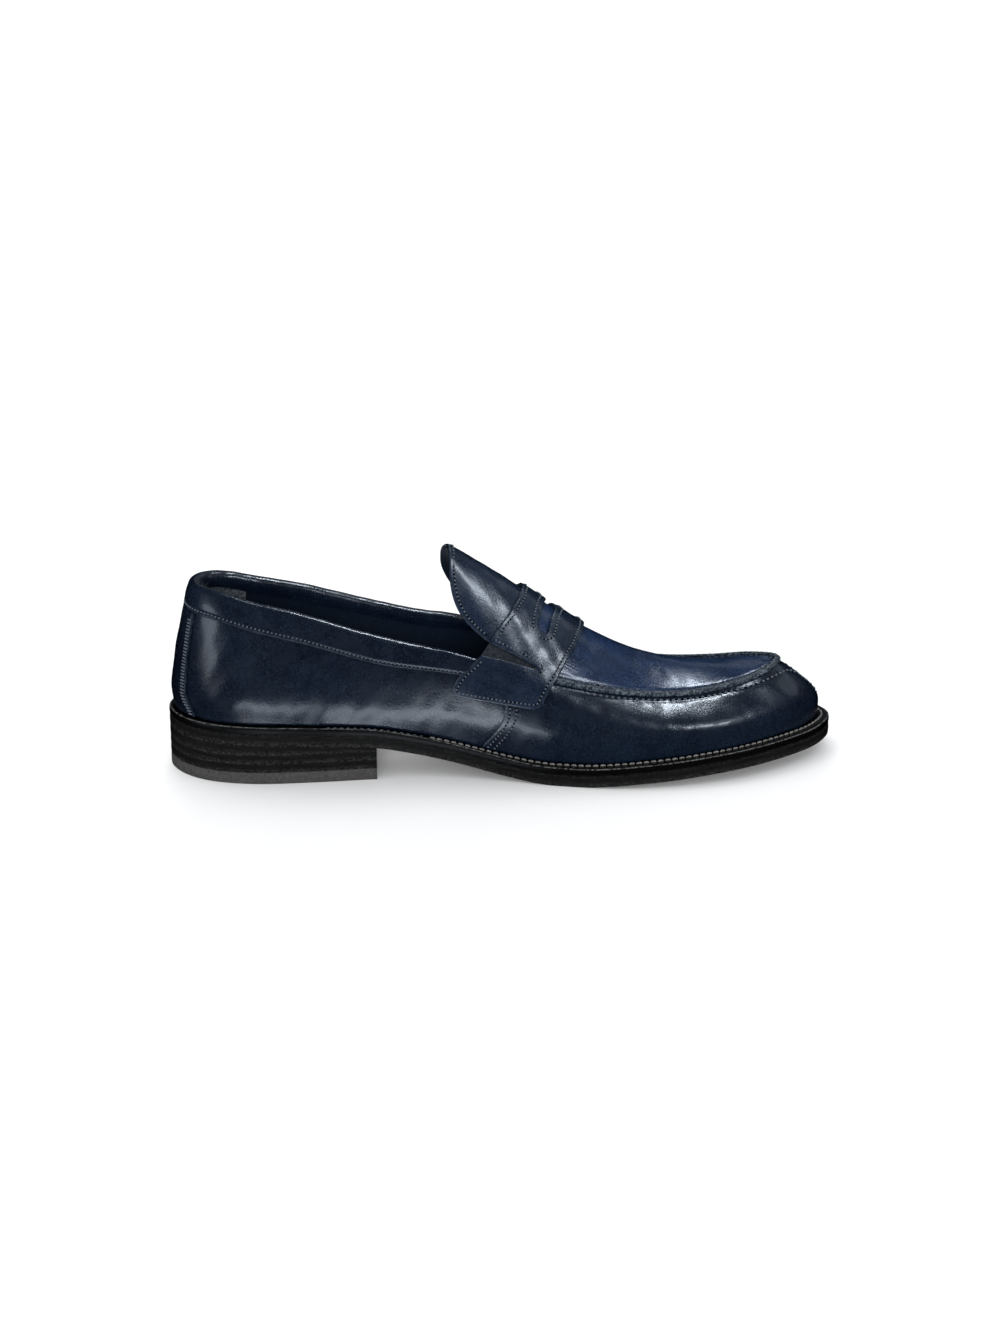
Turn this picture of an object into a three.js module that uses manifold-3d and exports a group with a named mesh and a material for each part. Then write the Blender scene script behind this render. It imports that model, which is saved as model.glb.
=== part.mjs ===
// A penny loafer for the right foot, in millimetres: +X runs from the heel to the toe, -Y is the
// outer (lateral) side, +Z is up. The upper is one imagined surface, the outside of its leather.
// Every piece of it is a patch of that surface, between two depths: its outside and its inside.
//
// A place on the surface is (around, up). `around` is 0 at the back of the heel, 1 at the tip of the
// toe and runs along the lateral side; -1 to 0 is the medial side. `up` counts the rails: 0 is the
// feather edge on the welt, 1 the widest line, 2 the topline and apron seam, 3 the crest on the
// middle of the foot, and 4, 5 and 6 the same three rails of the other side.
import * as THREE from "three";
import Module from "manifold-3d";

const wasm = await Module();
wasm.setup();

// ---- Driving dimensions ----

const GAP = 0.3; // left where two pieces meet edge to edge
const PLY_GAP = 0.5; // left between layers that lie on each other
const OUTSOLE = 4.9;
const WELT = 3.3;
const BOARD = 2;
const SOCK = 1;
const HEEL_PAD = 2.4;
const TOP_PIECE = 5.2;
const LIFT = 3.9;
const LEATHER = 1.3;
const STIFFENER = 0.8;
const LINING = 0.9;
const STRAP = 1.6;
const OVERLAY = 1.2;

// Rows from the heel's back to the toe's tip: [x, middle y, half width, z].
const OUTLINE = [
  [0, 0, 0], [5.5, 0, 15.5], [18, 0, 26.8], [38, 0, 32.7], [66, -0.3, 32.3],
  [95, -1.2, 29.3], [122, -1.5, 29.3], [150, -1.6, 34.6], [178, -1.8, 42.4], [206, -1.8, 47.6],
  [234, -0.8, 47.2], [261, 1, 41.6], [284.5, 3, 30.8], [301.3, 4.5, 17.2], [309, 5, 0],
];
const WIDEST = [
  [3.3, 0, 0, 40], [8, 0, 14.4, 41], [19, 0, 24.8, 42], [38, 0, 30.5, 43], [66, -0.3, 30.3, 42],
  [95, -1.2, 27.6, 39], [122, -1.5, 27.6, 34], [150, -1.6, 32, 29.5], [178, -2, 38.5, 26.5],
  [206, -2, 42.5, 24.5], [232.5, -0.8, 42, 23.8], [257.5, 1, 36.4, 24], [279, 3, 26.8, 25.2],
  [295.2, 4.3, 14.9, 26], [302.6, 4.8, 0, 26],
];
const TOPLINE = [
  [12.6, 0, 0, 86], [15.5, 0, 10.2, 85.8], [24, 0, 17, 84.5], [40, 0, 21.5, 80.3],
  [64, 0, 24.2, 74.6], [90, 0, 26.6, 66.8], [116, 0, 27.8, 60.2], [142, 0, 30.5, 55.6],
  [166, 0, 31.6, 49.2], [192, 0.3, 30.8, 41.8], [214, 1, 28, 37.2], [236, 2, 25, 35.4],
  [255.5, 2.8, 20.5, 36.6], [272.6, 3.2, 13.6, 39.6], [283, 3.3, 0, 42.4],
];
// The crest, [x, y, z]; over the foot opening it only sets how the topline leans in.
const CREST = [
  [24, 0, 124], [28, 0, 123.5], [35, 0, 122], [50, 0, 120], [72, 0, 119], [95, 0, 116.2],
  [118, 0, 108.8], [140, 0, 96], [163, 0, 80.7], [190, 0.3, 62.4], [213, 1, 50.4], [236, 2, 43.4],
  [255.5, 2.8, 41], [272, 3.2, 41.8], [283, 3.3, 42.4],
];
// The outsole's underside, [x, z]: high over the heel, flat under the ball, raised at the toe.
const SOLE_PROFILE = [
  [0, 19.3], [20, 19], [40, 18.6], [60, 17.8], [80, 16.6], [95, 15.2], [110, 12.4], [125, 9.2],
  [140, 5.8], [150, 3.4], [160, 1.5], [168, 0.4], [176, 0], [187, 0], [200, 0.9], [213, 2],
  [230, 3.2], [250, 4.5], [280, 5.6], [309, 6],
];
const BREAST = 5 / 14; // where the heel ends, as `around`
const SEGMENTS = 28; // steps from the heel to the toe

// The strap's edges as [up, around], and where its tabs end.
const STRAP_REAR = [
  [1.34, 0.454], [1.56, 0.458], [1.8, 0.476], [2.11, 0.505], [2.52, 0.549], [2.75, 0.566], [3, 0.571],
];
const STRAP_FRONT = [[1.34, 0.556], [1.7, 0.58], [2.25, 0.617], [2.5, 0.633], [2.8, 0.644], [3, 0.647]];
const TAB_BOTTOM = 1.34;
// The notches that divide the strap's rear edge, and the slot across its top, which leans back as
// it goes down the sides.
const NOTCH = { up: 2.09, point: 0.583, mouth: 0.49, rise: 0.14, width: 0.02 };
const SLOT = { around: 0.603, lean: 0.021, half: 0.0075, reach: 0.52, roundness: 5 };
// The tongue's free edge: at `tip` over most of its width and at `corner` where it goes under the
// strap. On the medial side it stands back by `skew`.
const TONGUE = { tip: 0.467, corner: 0.517, reach: 0.78, roundness: 6, skew: 0.01, thickness: 1.2 };
const TONGUE_LINING = { depth: 1.5, thickness: 0.8, margin: 0.04 };

// The ledge of the welt outside the upper: at the heel's back, and how it changes `by` some
// millimetres over stretches of the way from the heel to the toe.
const LEDGE_AT_BACK = 3.8;
const LEDGE_CHANGES = [
  { by: -0.8, from: 0.06, to: 0.16 }, { by: 3.4, from: 0.35, to: 0.6 }, { by: -1, from: 0.85, to: 1 },
];
// The seam of vamp and quarters: where it starts on the welt, and how far it leans forward from
// each rail to the next.
const VAMP_SEAM = { around: 0.478, lean: 0.028 };
// The raised seam round the apron, and the sewing line `below` it.
const ROLL = { start: 0.614, width: 3.2, height: 2, below: 3.2, thread: 0.35 };
const APRON_END = 0.975;
// The facing folded over the topline: its width outside at the heel and at the waist, and inside.
const COLLAR = { heel: 9.6, waist: 7, waistStart: 0.36, waistEnd: 0.46, inside: 9 };
const BACKSTAY = { half: 0.084, flare: 0.024, bottom: 0.04 };
const TOE_PUFF = { start: 0.88, bottom: 0.08 };
const COUNTER = { reach: 0.27, bottom: 0.06, top: 1.4 };
const GRIP_END = 0.2; // where the suede heel grip ends, as `around`

// How far the bottom pieces stand in from the upper's feather edge.
const INSETS = { board: 4.3, welt: 4.5, cork: 4.8, sock: 4.5, pad: 6 };
const WELT_THREAD = { start: 0.4, outside: 2.1, radius: 0.45 };
// The heel pad thins away between these two places.
const PAD_END = { from: 62, to: 96, around: 0.3, least: 0.4 };
const SHANK = { rear: 62, front: 158, y: -1, half: 6.5, taper: 0.55, thickness: 1.2 };
const NAILS = [[16, 0], [28, -18], [28, 18], [66, -18], [66, 16]]; // places of the heel nails, [x, y]
const NAIL_RADIUS = 0.9;

const MATERIALS = {
  upper_leather: { color: 0x10192c, roughness: 0.32, metalness: 0 },
  lining_leather: { color: 0x1b1d24, roughness: 0.7, metalness: 0 },
  suede: { color: 0x2a2f3a, roughness: 0.95, metalness: 0 },
  stiffener: { color: 0xb9a88c, roughness: 0.9, metalness: 0 },
  sole_leather: { color: 0x17181a, roughness: 0.45, metalness: 0 },
  rubber: { color: 0x2c2d2f, roughness: 0.8, metalness: 0 },
  board: { color: 0xa98d66, roughness: 0.9, metalness: 0 },
  cork: { color: 0xb08a5a, roughness: 0.95, metalness: 0 },
  foam: { color: 0xd9d3c4, roughness: 1, metalness: 0 },
  steel: { color: 0x9a9da1, roughness: 0.35, metalness: 1 },
  thread: { color: 0x232a38, roughness: 0.75, metalness: 0 },
};

// ---- Curves ----

const smoothstep = THREE.MathUtils.smoothstep;

// A value along rows of [position, value], joined by straight lines.
function between(rows, position) {
  const next = rows.findIndex(([at]) => at >= position);
  if (next <= 0) return rows[next === 0 ? 0 : rows.length - 1][1];
  const [[a, va], [b, vb]] = [rows[next - 1], rows[next]];
  return va + ((vb - va) * (position - a)) / (b - a);
}

// The same, as a smooth line that never overshoots a row.
function smoothLine(rows) {
  const slopes = rows.slice(1).map(([x, y], i) => (y - rows[i][1]) / (x - rows[i][0]));
  const tangents = rows.map((_, i) => {
    const [before, after] = [slopes[i - 1] ?? slopes[i], slopes[i] ?? slopes[i - 1]];
    return before * after <= 0 ? 0 : (2 * before * after) / (before + after);
  });
  return (x) => {
    const last = rows.length - 2;
    const i = Math.min(last, Math.max(0, rows.findIndex(([at]) => at >= x) - 1));
    const [[x0, y0], [x1, y1]] = [rows[i], rows[i + 1]];
    const length = x1 - x0;
    const t = THREE.MathUtils.clamp((x - x0) / length, 0, 1);
    const rise = y0 * (1 + 2 * t) * (1 - t) ** 2 + y1 * t * t * (3 - 2 * t);
    return rise + length * (tangents[i] * t * (1 - t) ** 2 - tangents[i + 1] * t * t * (1 - t));
  };
}

// A closed line round the shoe through rows of stations.
function rail(rows) {
  const side = (sign) => rows.map(([x, y, half, z = 0]) => new THREE.Vector3(x, y + sign * half, z));
  const medial = side(1).slice(1, -1).reverse();
  const curve = new THREE.CatmullRomCurve3([...side(-1), ...medial], true, "centripetal");
  return (around) => curve.getPoint(THREE.MathUtils.euclideanModulo(around / 2, 1));
}

const soleBottom = smoothLine(SOLE_PROFILE);
const weltBottom = OUTSOLE + PLY_GAP;
const weltTop = weltBottom + WELT;
const outline = rail(OUTLINE);
const widest = rail(WIDEST);
const topline = rail(TOPLINE);
const crestLine = new THREE.CatmullRomCurve3(
  CREST.map((row) => new THREE.Vector3(...row)), false, "centripetal");

// 0 at the heel's back and 1 at the toe's tip, on either side.
const fromHeel = (around) => 1 - Math.abs(1 - THREE.MathUtils.euclideanModulo(around, 2));
const crest = (around) => crestLine.getPoint(fromHeel(around));
// How far the upper stands in from the sole's edge.
function ledge(around) {
  const place = fromHeel(around);
  return LEDGE_CHANGES.reduce(
    (width, { by, from, to }) => width + by * smoothstep(place, from, to), LEDGE_AT_BACK);
}

function outlinePoint(around, inset) {
  const step = 0.001;
  const along = outline(around + step).sub(outline(around - step)).normalize();
  return outline(around).add(new THREE.Vector3(-along.y, along.x, 0).multiplyScalar(inset));
}

function feather(around) {
  const point = outlinePoint(around, ledge(around));
  point.z = soleBottom(point.x) + weltTop + GAP;
  return point;
}

// ---- The surface of the upper ----

function surfacePoint(around, up) {
  const rails = [
    feather(around), widest(around), topline(around), crest(around),
    topline(-around), widest(-around), feather(-around),
  ];
  const across = new THREE.CatmullRomCurve3(rails, false, "centripetal");
  return across.getPoint(THREE.MathUtils.clamp(up / 6, 0, 1));
}

function slopeNormal(around, up) {
  const [stepAround, stepUp] = [0.004, 0.01];
  const along = surfacePoint(around + stepAround, up).sub(surfacePoint(around - stepAround, up));
  const rising = surfacePoint(around, up + stepUp).sub(surfacePoint(around, up - stepUp));
  return along.cross(rising).normalize();
}

function surfaceNormal(around, up) {
  const beforeTip = 0.99;
  if (Math.abs(around) < beforeTip || Math.abs(around) > 2 - beforeTip) return slopeNormal(around, up);
  const side = around < 1 ? up : 6 - up;
  const nearTip = slopeNormal(beforeTip, side).add(slopeNormal(beforeTip, 6 - side)).normalize();
  const share = 1 - Math.abs(1 - Math.abs(around)) / (1 - beforeTip);
  return slopeNormal(beforeTip, side).lerp(nearTip, share).normalize();
}

// The surface moved out by `depth`; inside the shoe depths are negative.
function upperPoint(around, up, depth) {
  return surfacePoint(around, up).addScaledVector(surfaceNormal(around, up), depth);
}

// The number of rails that `length` covers below the topline.
function belowTopline(around, length) {
  return length / topline(around).distanceTo(widest(around));
}

// ---- Closed meshes ----

// Welds equal corners, drops empty triangles and turns the faces outward.
function closedGeometry(points, triangles) {
  const grain = 0.001;
  const places = new Map();
  const corners = [];
  const index = points.map((point) => {
    const key = point.toArray().map((value) => Math.round(value / grain)).join();
    if (!places.has(key)) places.set(key, corners.push(point) - 1);
    return places.get(key);
  });
  const faces = triangles.map((face) => face.map((corner) => index[corner]))
    .filter(([a, b, c]) => a !== b && b !== c && c !== a);
  const volume = faces.reduce((sum, [a, b, c]) => (
    sum + corners[a].dot(corners[b].clone().cross(corners[c]))), 0);
  if (volume < 0) faces.forEach((face) => face.reverse());
  const geometry = new THREE.BufferGeometry().setFromPoints(corners);
  geometry.setIndex(faces.flat());
  return geometry;
}

// A solid between two sheets. `point(u, v, sheet)` gives sheet 0 and sheet 1 for u and v from 0
// to 1. `ends` "both" closes both ends of u, "start" only the first and "none" neither: there the
// sheet meets itself.
function slab(point, rows, columns, ends = "both") {
  const points = [];
  for (let sheet = 0; sheet < 2; sheet += 1) {
    for (let i = 0; i <= rows; i += 1) {
      for (let j = 0; j <= columns; j += 1) points.push(point(i / rows, j / columns, sheet));
    }
  }
  const at = (i, j, sheet) => sheet * (rows + 1) * (columns + 1) + i * (columns + 1) + j;
  const triangles = [];
  const quad = (a, b, c, d) => triangles.push([a, b, c], [a, c, d]);
  for (let i = 0; i < rows; i += 1) {
    for (let j = 0; j < columns; j += 1) {
      quad(at(i, j, 0), at(i + 1, j, 0), at(i + 1, j + 1, 0), at(i, j + 1, 0));
      quad(at(i, j, 1), at(i, j + 1, 1), at(i + 1, j + 1, 1), at(i + 1, j, 1));
    }
    quad(at(i, 0, 0), at(i, 0, 1), at(i + 1, 0, 1), at(i + 1, 0, 0));
    quad(at(i, columns, 0), at(i + 1, columns, 0), at(i + 1, columns, 1), at(i, columns, 1));
  }
  for (let j = 0; j < columns; j += 1) {
    if (ends !== "none") quad(at(0, j, 0), at(0, j + 1, 0), at(0, j + 1, 1), at(0, j, 1));
    if (ends === "both") quad(at(rows, j, 0), at(rows, j, 1), at(rows, j + 1, 1), at(rows, j + 1, 0));
  }
  return closedGeometry(points, triangles);
}

// A cord of oval section along `centre(t)`, with its height along `upward(t)`.
function cord(centre, upward, width, height, steps, sides) {
  const points = [];
  const triangles = [];
  for (let i = 0; i <= steps; i += 1) {
    const t = i / steps;
    const middle = centre(t);
    const along = centre(Math.min(1, t + 0.001)).sub(centre(Math.max(0, t - 0.001))).normalize();
    const rise = upward(t);
    const sideways = along.cross(rise).normalize();
    for (let k = 0; k < sides; k += 1) {
      const angle = (2 * Math.PI * (k + 0.5)) / sides;
      points.push(middle.clone()
        .addScaledVector(sideways, (Math.cos(angle) * width) / 2)
        .addScaledVector(rise, (Math.sin(angle) * height) / 2));
    }
  }
  for (let i = 0; i < steps; i += 1) {
    for (let k = 0; k < sides; k += 1) {
      const [a, b] = [i * sides + k, i * sides + ((k + 1) % sides)];
      triangles.push([a, b, b + sides], [a, b + sides, a + sides]);
    }
  }
  for (let k = 1; k < sides - 1; k += 1) {
    triangles.push([0, k + 1, k], [steps * sides, steps * sides + k, steps * sides + k + 1]);
  }
  return closedGeometry(points, triangles);
}

function toManifold(geometry) {
  return new wasm.Manifold(new wasm.Mesh({
    numProp: 3,
    vertProperties: new Float32Array(geometry.getAttribute("position").array),
    triVerts: new Uint32Array(geometry.getIndex().array),
  }));
}

// `geometry` with every one of `cutters` cut away.
function cutAway(geometry, cutters) {
  const rest = cutters.reduce((body, cutter) => body.subtract(toManifold(cutter)), toManifold(geometry));
  const mesh = rest.getMesh();
  const result = new THREE.BufferGeometry();
  result.setAttribute("position", new THREE.BufferAttribute(mesh.vertProperties, mesh.numProp));
  result.setIndex([...mesh.triVerts]);
  return result;
}

function weldedGeometry(geometry) {
  const position = geometry.getAttribute("position");
  const points = Array.from({ length: position.count }, (_, i) => (
    new THREE.Vector3().fromBufferAttribute(position, i)));
  const flat = [...geometry.getIndex().array];
  const triangles = Array.from({ length: flat.length / 3 }, (_, i) => flat.slice(3 * i, 3 * i + 3));
  return closedGeometry(points, triangles);
}

// ---- Pieces of the upper ----

const counterDepth = LEATHER + PLY_GAP;
const liningDepth = counterDepth + STIFFENER + PLY_GAP;

// The seam that joins vamp and quarters, and the edges that the strap's place sets.
const vampSeam = (up) => VAMP_SEAM.around + VAMP_SEAM.lean * Math.min(up, 2);
const folded = (up) => Math.min(up, 6 - up);
const strapRear = (up) => between(STRAP_REAR, folded(up));
const strapFront = (up) => between(STRAP_FRONT, folded(up));
const throat = (up, past) => Math.max(vampSeam(folded(up)), strapRear(up) + past);
const skew = (up) => TONGUE.skew * smoothstep(up, 3, 3.3) * (1 - smoothstep(up, 3.4, 3.75));
const tongueEdge = (up) => (
  TONGUE.tip - skew(up)
  + (TONGUE.corner - TONGUE.tip) * (Math.abs(3 - up) / TONGUE.reach) ** TONGUE.roundness);

// A patch that wraps round the toe or the heel, from `start(up)` to `finish(up)`.
function wall(start, finish, low, high, outer, inner, rows, columns) {
  return slab((u, v, sheet) => {
    const around = THREE.MathUtils.lerp(start(v), finish(v), u);
    const up = THREE.MathUtils.lerp(low(around), high(around), v);
    return upperPoint(around, up, sheet ? inner : outer);
  }, rows, columns);
}

// A patch that crosses the shoe from side to side, from `rear(up)` to `front(up)`.
function saddle(rear, front, low, outer, inner, rows, columns, ends) {
  return slab((u, v, sheet) => {
    const up = THREE.MathUtils.lerp(low, 6 - low, v);
    const around = THREE.MathUtils.lerp(rear(up), front(up), u);
    return upperPoint(around, up, sheet ? inner : outer);
  }, rows, columns, ends);
}

const SEAM_GAP = 0.012; // half the space left at the apron seam, in rails
const END_GAP = 0.0015; // half the space left at an upright seam, as `around`
const feathered = () => 0;
const constant = (value) => () => value;

function vamp() {
  const start = (v) => vampSeam(2 * v) + END_GAP;
  return wall(start, (v) => 2 - start(v), feathered, constant(2 - SEAM_GAP), 0, -LEATHER, 44, 5);
}

function quarter(side) {
  return wall(constant(side * END_GAP), (v) => side * (vampSeam(2 * v) - END_GAP),
    feathered, constant(2), 0, -LEATHER, 16, 5);
}

function apron() {
  const rear = (up) => throat(up, 0.003) + END_GAP;
  return saddle(rear, constant(APRON_END), 2 + SEAM_GAP, 0, -LEATHER, 16, 10);
}

const alongApron = (t) => THREE.MathUtils.lerp(ROLL.start, 2 - ROLL.start, t);

function seamRoll() {
  const depth = GAP + ROLL.height / 2;
  return cord((t) => upperPoint(alongApron(t), 2, depth), (t) => surfaceNormal(alongApron(t), 2),
    ROLL.width, ROLL.height, 48, 8);
}

// The sewing line beside the roll, on the vamp.
function apronThread() {
  const up = (t) => 2 - belowTopline(alongApron(t), ROLL.below);
  return cord((t) => upperPoint(alongApron(t), up(t), GAP + ROLL.thread),
    (t) => surfaceNormal(alongApron(t), up(t)), 2 * ROLL.thread, 2 * ROLL.thread, 60, 5);
}

function strap() {
  const band = saddle(strapRear, strapFront, TAB_BOTTOM, PLY_GAP + STRAP, PLY_GAP, 7, 26);
  const beyond = 2; // how far the cutters reach past the leather
  const depths = (sheet) => (sheet ? PLY_GAP - beyond : PLY_GAP + STRAP + beyond);
  const notch = (side) => slab((u, v, sheet) => {
    const around = THREE.MathUtils.lerp(NOTCH.mouth, NOTCH.point, u);
    const rise = NOTCH.width + NOTCH.rise * (1 - u);
    return upperPoint(side * around, NOTCH.up + rise * v, depths(sheet));
  }, 5, 2);
  const slot = slab((u, v, sheet) => {
    const down = 2 * u - 1;
    const half = SLOT.half * Math.sqrt(Math.max(0, 1 - Math.abs(down) ** SLOT.roundness));
    const around = SLOT.around - SLOT.lean * SLOT.reach * Math.abs(down);
    return upperPoint(around + half * (2 * v - 1), 3 + SLOT.reach * down, depths(sheet));
  }, 16, 2);
  return cutAway(band, [notch(1), notch(-1), slot]);
}

const collarBand = (around) => THREE.MathUtils.lerp(
  COLLAR.heel, COLLAR.waist, smoothstep(fromHeel(around), COLLAR.waistStart, COLLAR.waistEnd));

// The facing folded over the topline: down the outside, over the edge and down the inside.
function collar() {
  const wallThickness = liningDepth + LINING;
  const middle = wallThickness / 2;
  const [outside, over] = [0.3, 0.7]; // where the fold starts and ends, as v
  const outerUp = (around, v) => 2 - belowTopline(around, collarBand(around) * (1 - v / outside));
  const justBelow = 1.98; // a place on the surface beside the topline
  return slab((u, v, sheet) => {
    const depth = sheet ? PLY_GAP : PLY_GAP + OVERLAY;
    const reach = strapRear(v < outside ? outerUp(COLLAR.waistEnd, v) : 2) - 3 * END_GAP;
    const around = THREE.MathUtils.lerp(-reach, reach, u);
    if (v < outside) return upperPoint(around, outerUp(around, v), depth);
    if (v > over) {
      const up = 2 - belowTopline(around, (COLLAR.inside * (v - over)) / (1 - over));
      return upperPoint(around, up, -wallThickness - depth);
    }
    const angle = (Math.PI * (v - outside)) / (over - outside);
    const out = surfaceNormal(around, 2);
    const rise = surfacePoint(around, 2).sub(surfacePoint(around, justBelow)).normalize();
    return surfacePoint(around, 2)
      .addScaledVector(out, Math.cos(angle) * (middle + depth) - middle)
      .addScaledVector(rise, Math.sin(angle) * (middle + depth));
  }, 34, 10);
}

function backstay() {
  const half = (v) => BACKSTAY.half + BACKSTAY.flare * (1 - smoothstep(v, 0, 0.5));
  const high = (around) => 2 - belowTopline(around, COLLAR.heel + 2 * GAP);
  return wall((v) => -half(v), half, constant(BACKSTAY.bottom), high,
    PLY_GAP + OVERLAY, PLY_GAP, 8, 6);
}

// The tongue's leather, or its lining, which stands in from the edge by `margin`, in rails.
function tongue(outer, inner, margin) {
  const reach = TONGUE.reach - margin;
  const marginAround = margin / 20;
  const rear = (up) => tongueEdge(up) + marginAround;
  return saddle(rear, (up) => strapRear(up) - END_GAP, 3 - reach, outer, inner, 9, 14);
}

function tongueLining() {
  const { depth, thickness, margin } = TONGUE_LINING;
  return tongue(-depth, -depth - thickness, margin);
}

function toePuff() {
  return saddle(constant(TOE_PUFF.start), constant(1), TOE_PUFF.bottom,
    -counterDepth, -counterDepth - STIFFENER, 6, 16, "start");
}

function heelCounter() {
  return wall(constant(-COUNTER.reach), constant(COUNTER.reach),
    constant(COUNTER.bottom), constant(COUNTER.top), -counterDepth, -counterDepth - STIFFENER, 20, 4);
}

function vampLining() {
  const rear = (up) => throat(up, 0.008) + END_GAP;
  return saddle(rear, constant(1), 0, -liningDepth, -liningDepth - LINING, 18, 22, "start");
}

function heelGrip() {
  return wall(constant(-GRIP_END), constant(GRIP_END), feathered, constant(2),
    -liningDepth, -liningDepth - LINING, 14, 6);
}

function quarterLining(side) {
  return wall(constant(side * (GRIP_END + 2 * END_GAP)), (v) => side * (vampSeam(2 * v) - END_GAP),
    feathered, constant(2), -liningDepth, -liningDepth - LINING, 10, 6);
}

// ---- Pieces of the bottom ----

// A flat piece as wide as the sole less `inset(around)`, between two heights over x.
function layer(inset, bottom, top, end = 1) {
  return slab((u, v, sheet) => {
    const around = u * end;
    const edge = outlinePoint(around, inset(around));
    const point = edge.lerp(outlinePoint(-around, inset(around)), v);
    point.z = (sheet ? bottom : top)(point.x);
    return point;
  }, Math.round(SEGMENTS * end), 4);
}

const overSole = (height) => (x) => soleBottom(x) + height;
const insideUpper = (margin) => (around) => ledge(around) + margin;
const flush = constant(0);
const boardBottom = weltTop + PLY_GAP;
const sockBottom = boardBottom + BOARD + GAP;
const padHeight = (x) => HEEL_PAD * (1 - smoothstep(x, PAD_END.from, PAD_END.to));

function welt() {
  return slab((u, v, sheet) => {
    const around = 2 * u;
    const point = outlinePoint(around, insideUpper(INSETS.welt)(around) * v);
    point.z = soleBottom(point.x) + (sheet ? weltBottom : weltTop);
    return point;
  }, 2 * SEGMENTS, 1, "none");
}

function weltThread() {
  const { start, outside, radius } = WELT_THREAD;
  const around = (t) => THREE.MathUtils.lerp(start, 2 - start, t);
  const centre = (t) => {
    const point = outlinePoint(around(t), ledge(around(t)) - outside);
    point.z = soleBottom(point.x) + weltTop + PLY_GAP + radius;
    return point;
  };
  return cord(centre, () => new THREE.Vector3(0, 0, 1), 2 * radius, 2 * radius, 64, 5);
}

// The steel strip under the arch, and the space that it lies in.
function shank(margin) {
  const endRoundness = 8;
  const above = margin > 0 ? 1 : 0; // the space is open at the top
  return slab((u, v, sheet) => {
    const x = THREE.MathUtils.lerp(SHANK.rear - margin, SHANK.front + margin, u);
    const round = Math.sqrt(Math.max(0, 1 - Math.abs(2 * u - 1) ** endRoundness));
    const half = SHANK.half * THREE.MathUtils.lerp(SHANK.taper, 1, round) + margin;
    const y = SHANK.y + half * (2 * v - 1);
    const height = sheet ? weltTop - SHANK.thickness - margin : weltTop + above;
    return new THREE.Vector3(x, y, soleBottom(x) + height);
  }, 12, 2);
}

function corkFiller() {
  const cork = layer(insideUpper(INSETS.cork), overSole(weltBottom), overSole(weltTop));
  return cutAway(cork, [shank(GAP)]);
}

function sock() {
  const bottom = (x) => soleBottom(x) + sockBottom + (padHeight(x) > 0 ? GAP : 0) + padHeight(x);
  return layer(insideUpper(INSETS.sock), bottom, (x) => bottom(x) + SOCK);
}

function heelPad() {
  const top = (x) => soleBottom(x) + sockBottom + Math.max(PAD_END.least, padHeight(x));
  return layer(insideUpper(INSETS.pad), overSole(sockBottom), top, PAD_END.around);
}

function insoleBoard() {
  return layer(insideUpper(INSETS.board), overSole(boardBottom), overSole(boardBottom + BOARD));
}

// Nails hold the stack of the heel to the outsole; they taper towards the ground.
function nail([x, y], radius, bottom, top) {
  const point = 0.7 * radius;
  const shaft = new THREE.CylinderGeometry(radius, point, top - bottom, 8);
  shaft.rotateX(Math.PI / 2).translate(x, y, (bottom + top) / 2);
  return weldedGeometry(shaft);
}

const nailTop = ([x]) => soleBottom(x) + OUTSOLE - GAP;
const nailHole = (place) => nail(place, NAIL_RADIUS + GAP, -TOP_PIECE, nailTop(place) + 2 * OUTSOLE);
const nailed = (geometry) => cutAway(geometry, NAILS.map(nailHole));

function heelLayer(bottom, top) {
  return layer(flush, bottom, top, BREAST);
}

const heelLift = (bottom) => heelLayer(constant(bottom), constant(bottom + LIFT));

const liftBottoms = [TOP_PIECE + GAP, TOP_PIECE + LIFT + 2 * GAP, TOP_PIECE + 2 * LIFT + 3 * GAP];

// ---- Assembly ----

const PIECES = [
  ["vamp", "upper_leather", vamp()],
  ["apron", "upper_leather", apron()],
  ["apron_seam_roll", "upper_leather", seamRoll()],
  ["apron_thread", "thread", apronThread()],
  ["strap", "upper_leather", strap()],
  ["quarter_lateral", "upper_leather", quarter(1)],
  ["quarter_medial", "upper_leather", quarter(-1)],
  ["backstay", "upper_leather", backstay()],
  ["collar", "upper_leather", collar()],
  ["tongue", "upper_leather", tongue(0, -TONGUE.thickness, 0)],
  ["tongue_lining", "lining_leather", tongueLining()],
  ["vamp_lining", "lining_leather", vampLining()],
  ["quarter_lining_lateral", "lining_leather", quarterLining(1)],
  ["quarter_lining_medial", "lining_leather", quarterLining(-1)],
  ["heel_grip", "suede", heelGrip()],
  ["toe_puff", "stiffener", toePuff()],
  ["heel_counter", "stiffener", heelCounter()],
  ["sock", "lining_leather", sock()],
  ["heel_pad", "foam", heelPad()],
  ["insole_board", "board", insoleBoard()],
  ["cork_filler", "cork", corkFiller()],
  ["shank", "steel", shank(0)],
  ["welt", "sole_leather", welt()],
  ["welt_thread", "thread", weltThread()],
  ["outsole", "sole_leather", nailed(layer(flush, overSole(0), overSole(OUTSOLE)))],
  ["heel_wedge", "sole_leather", nailed(heelLayer(constant(liftBottoms[2]), overSole(-GAP)))],
  ["heel_lift_upper", "sole_leather", nailed(heelLift(liftBottoms[1]))],
  ["heel_lift_lower", "sole_leather", nailed(heelLift(liftBottoms[0]))],
  ["top_piece", "rubber", heelLayer(constant(0), constant(TOP_PIECE))],
  ...NAILS.map((place, i) => [
    `heel_nail_${i + 1}`, "steel", nail(place, NAIL_RADIUS, liftBottoms[0] + GAP, nailTop(place))]),
];

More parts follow.
